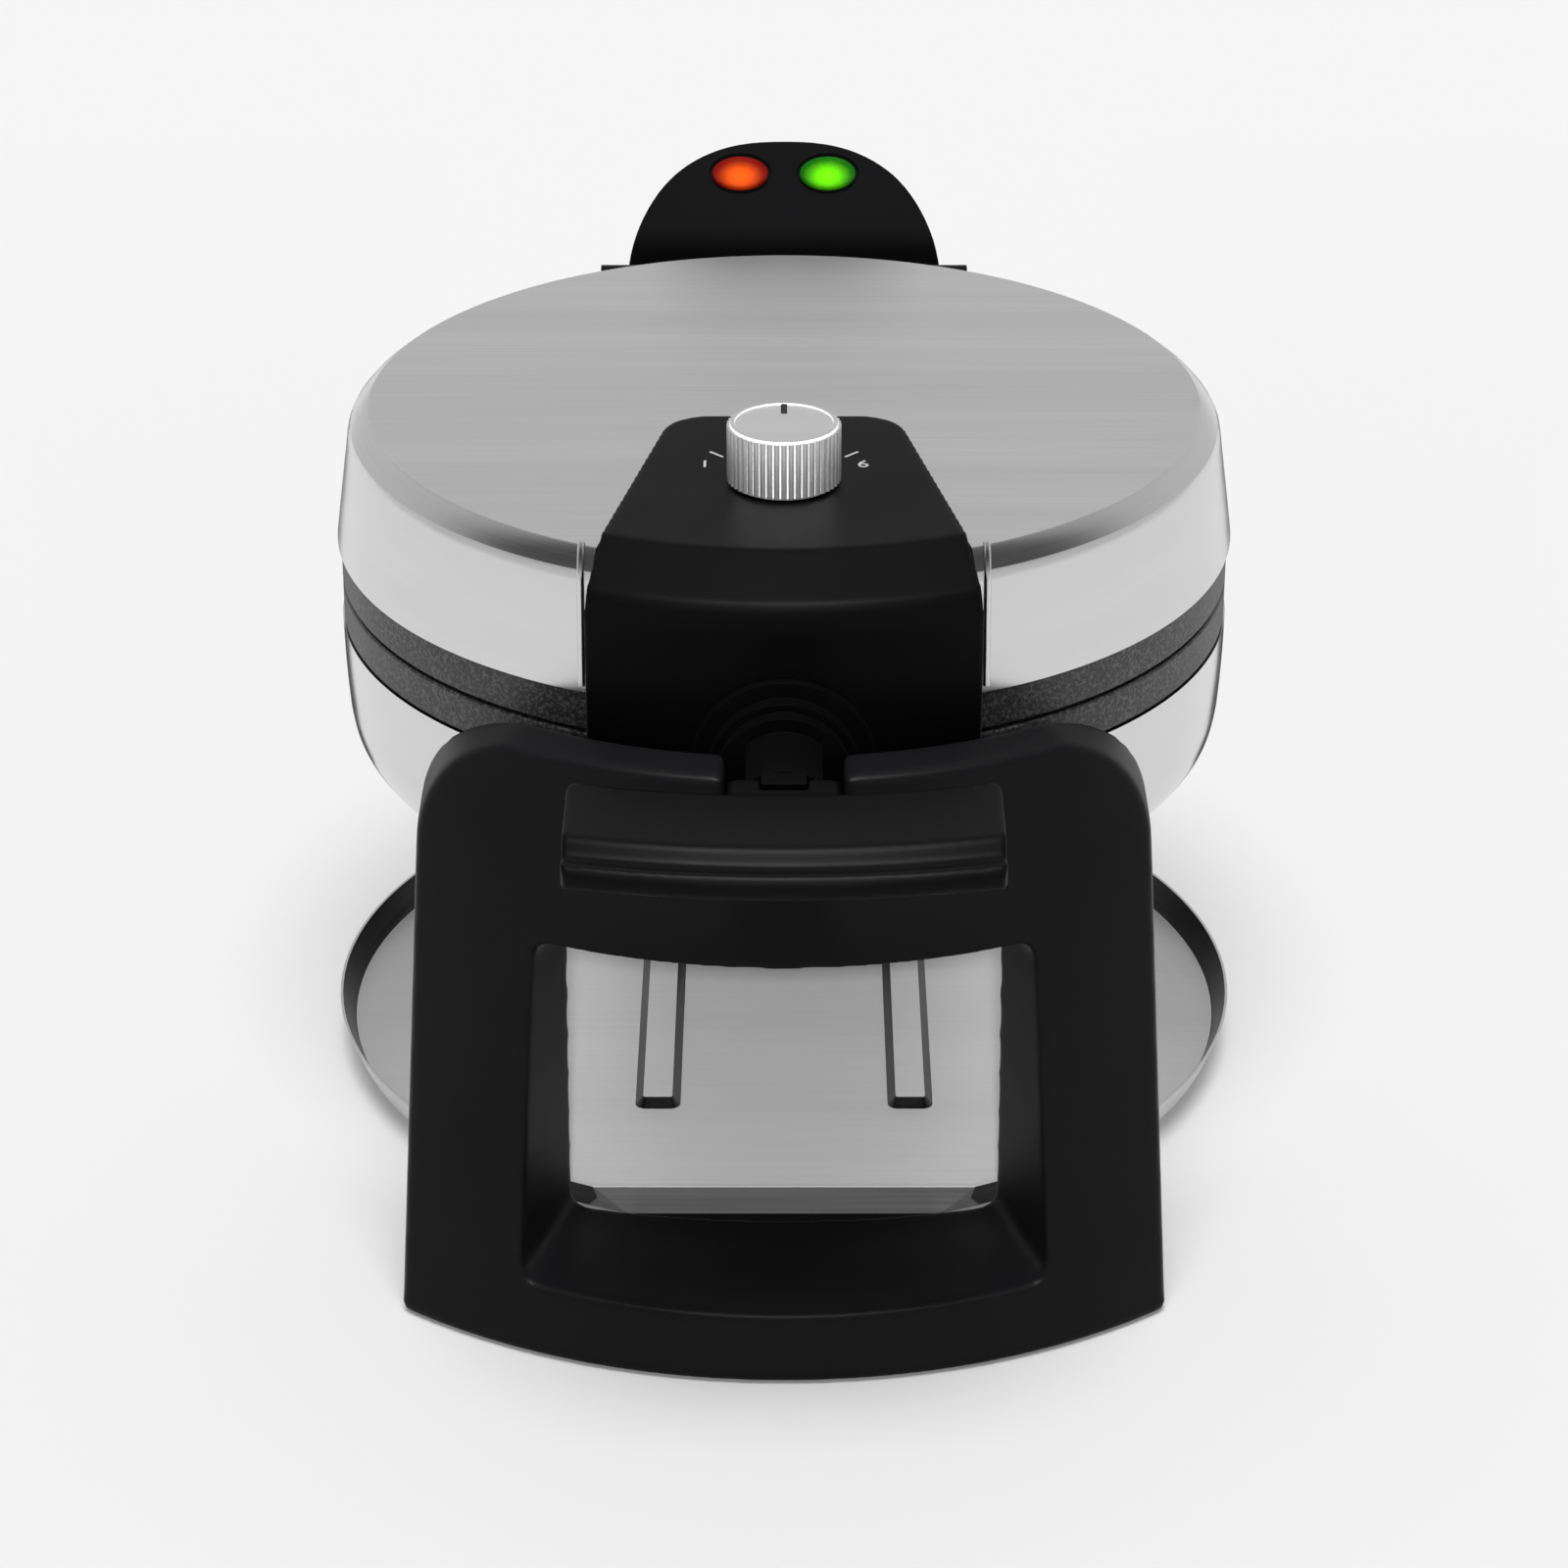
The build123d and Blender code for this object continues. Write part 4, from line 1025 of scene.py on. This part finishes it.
def knob_flutes(count, radius, low, high):
    """Ribs round the dial, instanced on a circle by Geometry Nodes."""
    tree, given, made, sockets = geometry_tree(
        "dial_flutes",
        (
            ("Count", "NodeSocketInt", count),
            ("Ring radius", "NodeSocketFloat", radius - RIB_INSET),
            ("Rib radius", "NodeSocketFloat", RIB_RADIUS),
            ("Length", "NodeSocketFloat", high - low - RIB_SHORTER),
        ),
    )
    link = tree.links.new
    ring = add(tree, "GeometryNodeMeshCircle")
    link(given.outputs["Count"], ring.inputs["Vertices"])
    link(given.outputs["Ring radius"], ring.inputs["Radius"])
    rib = add(tree, "GeometryNodeMeshCylinder")
    rib.inputs["Vertices"].default_value = 10
    link(given.outputs["Rib radius"], rib.inputs["Radius"])
    link(given.outputs["Length"], rib.inputs["Depth"])
    spread = add(tree, "GeometryNodeInstanceOnPoints")
    link(ring.outputs["Mesh"], spread.inputs["Points"])
    link(rib.outputs["Mesh"], spread.inputs["Instance"])
    solid = add(tree, "GeometryNodeRealizeInstances")
    link(spread.outputs["Instances"], solid.inputs["Geometry"])
    colour = add(tree, "GeometryNodeSetMaterial")
    colour.inputs["Material"].default_value = Finish.made["dial"]
    link(solid.outputs["Geometry"], colour.inputs["Geometry"])
    link(colour.outputs["Geometry"], made.inputs["Geometry"])
    holder = new_object("dial_ribs", bpy.data.meshes.new("dial_ribs"))
    modifier = holder.modifiers.new("flutes", "NODES")
    modifier.node_group = tree
    modifier[sockets["Count"]] = count
    modifier[sockets["Ring radius"]] = radius - RIB_INSET
    bake_modifiers(holder)
    holder.data.transform(Matrix.Translation((DIAL.x, DIAL.y, (low + high) / 2)))
    soften(holder.data, 50)
    return holder


def join_pieces(name, *pieces):
    """Several meshes as one."""
    tool = bmesh.new()
    for piece in pieces:
        tool.from_mesh(piece.data)
        bpy.data.objects.remove(piece)
    mesh = bpy.data.meshes.new(name)
    tool.to_mesh(mesh)
    tool.free()
    return new_object(name, mesh)


def text_mesh(name, words, size, place):
    """Plain raised figures as a mesh, lying flat."""
    curve = bpy.data.curves.new(name, "FONT")
    curve.body = words
    curve.size = size
    curve.extrude = FIGURE_RELIEF
    curve.align_x = "CENTER"
    curve.align_y = "CENTER"
    helper = new_object(name, curve)
    bpy.context.view_layer.update()
    graph = bpy.context.evaluated_depsgraph_get()
    mesh = bpy.data.meshes.new_from_object(helper.evaluated_get(graph))
    bpy.data.objects.remove(helper)
    mesh.transform(Matrix.Translation(place))
    return new_object(name, mesh)


def dial_scale(radius):
    """Ticks and the figures 1 and 6 printed either side of the dial."""
    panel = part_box("control_housing")[1].z
    centre = Vector((DIAL.x, DIAL.y, 0))
    verts, faces = [], []
    for degrees in (-TICK_DEGREES, TICK_DEGREES):
        angle = math.radians(degrees)
        ahead = Vector((math.sin(angle), math.cos(angle), 0))
        side = Vector((ahead.y, -ahead.x, 0)) * TICK_HALF_WIDTH
        near = centre + ahead * radius
        far = centre + ahead * (radius + TICK_LENGTH)
        start = len(verts)
        for z in (panel, panel + TICK_RISE):
            for spot in (near - side, near + side, far + side, far - side):
                verts.append((spot.x, spot.y, z))
        faces += [tuple(start + i for i in f) for f in ((3, 2, 1, 0), (4, 5, 6, 7))]
        for i in range(4):
            j = (i + 1) % 4
            faces.append((start + i, start + j, start + 4 + j, start + 4 + i))
    made = [new_object("scale_ticks", mesh_from("scale_ticks", verts, faces))]
    for words, side in (("1", -1), ("6", 1)):
        x = DIAL.x + side * FIGURE_ASIDE
        place = (x, DIAL.y + FIGURE_BEHIND, panel + FIGURE_RISE)
        made.append(text_mesh(f"scale_{words}", words, FIGURE_SIZE, place))
    return made


# Stage


class WAFFLE_OT_stage(bpy.types.Operator):
    """Pale floor, studio sky, lamps, two dark floor cards, and the photograph's camera."""

    bl_idname = "waffle.stage"
    bl_label = "Stage"

    def execute(self, context):
        scene = context.scene
        scene.view_settings.view_transform = "Standard"
        make_floor(tuple(scene.waffle_colours.floor))
        make_world()
        sun_lamp("overhead", tilt=12, spread=32, power=2.3).visible_glossy = False
        tray_lamp("tray_fill", power=165.0)
        edge_lamp("edge_light", BLACK_PIECES, tilt=10, spread=16, power=2.6)
        edge_lamp("dial_light", ("fluted_dial",), tilt=58, spread=30, power=4.2)
        for side, word in ((-1, "left"), (1, "right")):
            floor_card(f"card_{word}", side)
        lens = bpy.data.cameras.new("photo_camera")
        lens.sensor_width = SENSOR_WIDTH
        lens.lens = CAMERA_LENS
        camera = bpy.data.objects.new("photo_camera", lens)
        camera.location = (0.0, CENTRE_Y - CAMERA_BACK, CAMERA_HEIGHT)
        camera.rotation_euler = (math.radians(90 - CAMERA_DOWN), 0, 0)
        scene.collection.objects.link(camera)
        scene.camera = camera
        return {"FINISHED"}


def make_floor(tone):
    """Wide floor that takes the shadow and shows an even pale tone to the camera."""
    size = FLOOR_HALF
    corners = [(-size, -size, 0), (size, -size, 0), (size, size, 0), (-size, size, 0)]
    floor = new_object("floor", mesh_from("floor", corners, [(0, 1, 2, 3)]))
    material, tree, shader = start_material("floor_paper")
    shader.inputs["Roughness"].default_value = 0.9
    shader.inputs["Base Color"].default_value = (*tone, 1)
    shader.inputs["Specular IOR Level"].default_value = 0.1
    even = add(tree, "ShaderNodeEmission", (-200, -400))
    even.inputs["Color"].default_value = (FLOOR_GLOW, FLOOR_GLOW, FLOOR_GLOW, 1)
    rays = add(tree, "ShaderNodeLightPath", (-900, 400))
    seen = math_node(tree, "MAXIMUM", rays.outputs["Is Camera Ray"], rays.outputs["Is Glossy Ray"])
    share = math_node(tree, "MULTIPLY", seen, FLOOR_GLOW_SHARE)
    both = add(tree, "ShaderNodeMixShader", (300, 200))
    tree.links.new(share, both.inputs[0])
    tree.links.new(shader.outputs[0], both.inputs[1])
    tree.links.new(even.outputs[0], both.inputs[2])
    tree.links.new(both.outputs[0], tree.nodes["Material Output"].inputs["Surface"])
    paint(floor, material)


def make_world():
    """Sky that dims overhead but not at the sides; the camera sees an even backdrop."""
    world = bpy.data.worlds.new("studio")
    bpy.context.scene.world = world
    world.use_nodes = True
    tree = world.node_tree
    back = tree.nodes["Background"]
    coords = add(tree, "ShaderNodeTexCoord", (-1100, 0))
    split = add(tree, "ShaderNodeSeparateXYZ", (-900, 0))
    tree.links.new(coords.outputs["Generated"], split.inputs[0])
    towards = math_node(tree, "MULTIPLY", split.outputs["Y"], -1.0)
    turn = math_node(tree, "ARCTAN2", split.outputs["Z"], towards)
    share = math_node(tree, "DIVIDE", turn, math.pi)
    height = add(tree, "ShaderNodeValToRGB", (-300, 0))
    ramp = height.color_ramp
    ramp.interpolation = "EASE"
    for place, tone in SKY_TONES[1:-1]:
        stop = ramp.elements.new(place)
        stop.color = (tone, tone, tone, 1)
    for end in (0, -1):
        tone = SKY_TONES[end][1]
        ramp.elements[end].color = (tone, tone, tone, 1)
    tree.links.new(share, height.inputs["Fac"])
    spread = math_node(tree, "ABSOLUTE", split.outputs["X"])
    aside = add(tree, "ShaderNodeMapRange", (-500, -300), interpolation_type="SMOOTHSTEP")
    aside.inputs["From Min"].default_value = 0.75
    aside.inputs["From Max"].default_value = 0.95
    aside.inputs["To Max"].default_value = SIDE_TONE
    tree.links.new(spread, aside.inputs["Value"])
    shown = math_node(tree, "MAXIMUM", height.outputs["Color"], aside.outputs["Result"])
    rays = add(tree, "ShaderNodeLightPath", (-500, 300))
    backdrop = add(tree, "ShaderNodeMix", (-100, 0), data_type="RGBA")
    backdrop.inputs["B"].default_value = (BACKDROP_TONE, BACKDROP_TONE, BACKDROP_TONE, 1)
    tree.links.new(rays.outputs["Is Camera Ray"], backdrop.inputs["Factor"])
    tree.links.new(shown, backdrop.inputs["A"])
    tree.links.new(backdrop.outputs["Result"], back.inputs["Color"])
    back.inputs["Strength"].default_value = 1.0


def sun_lamp(name, tilt, spread, power):
    """Wide, even light from above, leaning towards the front by tilt degrees."""
    light = bpy.data.lights.new(name, "SUN")
    light.angle = math.radians(spread)
    light.energy = power
    thing = bpy.data.objects.new(name, light)
    thing.rotation_euler = (math.radians(tilt), 0, 0)
    bpy.context.scene.collection.objects.link(thing)
    return thing


def light_only(lamp, pieces):
    """Keeps a lamp's light to the named pieces."""
    lit = bpy.data.collections.new(f"{lamp.name}_lights")
    for piece in pieces:
        lit.objects.link(bpy.data.objects[piece])
    lamp.light_linking.receiver_collection = lit


def tray_lamp(name, power):
    """Small lamp at the camera that lights the tray through the stand's window."""
    light = bpy.data.lights.new(name, "SPOT")
    light.energy = power
    light.spot_size = math.radians(TRAY_LAMP_SPREAD)
    light.spot_blend = 0.4
    light.shadow_soft_size = 0.03
    thing = bpy.data.objects.new(name, light)
    thing.location = (0.0, CENTRE_Y - CAMERA_BACK, CAMERA_HEIGHT)
    thing.rotation_euler = (math.radians(90 - TRAY_LAMP_DOWN), 0, 0)
    thing.visible_glossy = False
    bpy.context.scene.collection.objects.link(thing)
    light_only(thing, ("tray_pressing",))


def edge_lamp(name, pieces, tilt, spread, power):
    """High lamp that only draws the highlights along the edges of the named pieces."""
    light_only(sun_lamp(name, tilt, spread, power), pieces)


def floor_card(name, side):
    """Dark card on the floor behind one side, seen only in the covers' edges."""
    corners = ((0.128, 0.13), (0.15, 0.8), (0.4, 0.8), (0.19, 0.13))
    verts = [(side * x, y, 0.0008) for x, y in corners]
    thing = new_object(name, mesh_from(name, verts, [(0, 1, 2, 3)]))
    material, _, shader = start_material(name)
    shader.inputs["Base Color"].default_value = (0.01, 0.01, 0.01, 1)
    shader.inputs["Roughness"].default_value = 1.0
    paint(thing, material)
    thing.visible_camera = False
    thing.visible_diffuse = False
    thing.visible_shadow = False


class WAFFLE_PT_panel(bpy.types.Panel):
    """Lists the operators in the order that they are run."""

    bl_idname = "WAFFLE_PT_panel"
    bl_label = "Waffle maker"
    bl_space_type = "VIEW_3D"
    bl_region_type = "UI"
    bl_category = "Waffle maker"

    def draw(self, context):
        for name in STEPS:
            self.layout.operator(f"waffle.{name}")


STEPS = ("finishes", "covers", "mouldings", "dial", "stage")
CLASSES = (
    CoverSizes,
    DialSizes,
    FinishColours,
    WAFFLE_OT_finishes,
    WAFFLE_OT_covers,
    WAFFLE_OT_mouldings,
    WAFFLE_OT_dial,
    WAFFLE_OT_stage,
    WAFFLE_PT_panel,
)


def register():
    """Adds the classes and the settings to Blender."""
    for item in CLASSES:
        bpy.utils.register_class(item)
    bpy.types.Scene.waffle_covers = PointerProperty(type=CoverSizes)
    bpy.types.Scene.waffle_dial = PointerProperty(type=DialSizes)
    bpy.types.Scene.waffle_colours = PointerProperty(type=FinishColours)


def unregister():
    """Takes them out again."""
    del bpy.types.Scene.waffle_covers
    del bpy.types.Scene.waffle_dial
    del bpy.types.Scene.waffle_colours
    for item in reversed(CLASSES):
        bpy.utils.unregister_class(item)


def main():
    """Runs every step."""
    register()
    for name in STEPS:
        getattr(bpy.ops.waffle, name)()


if __name__ == "__main__":
    main()
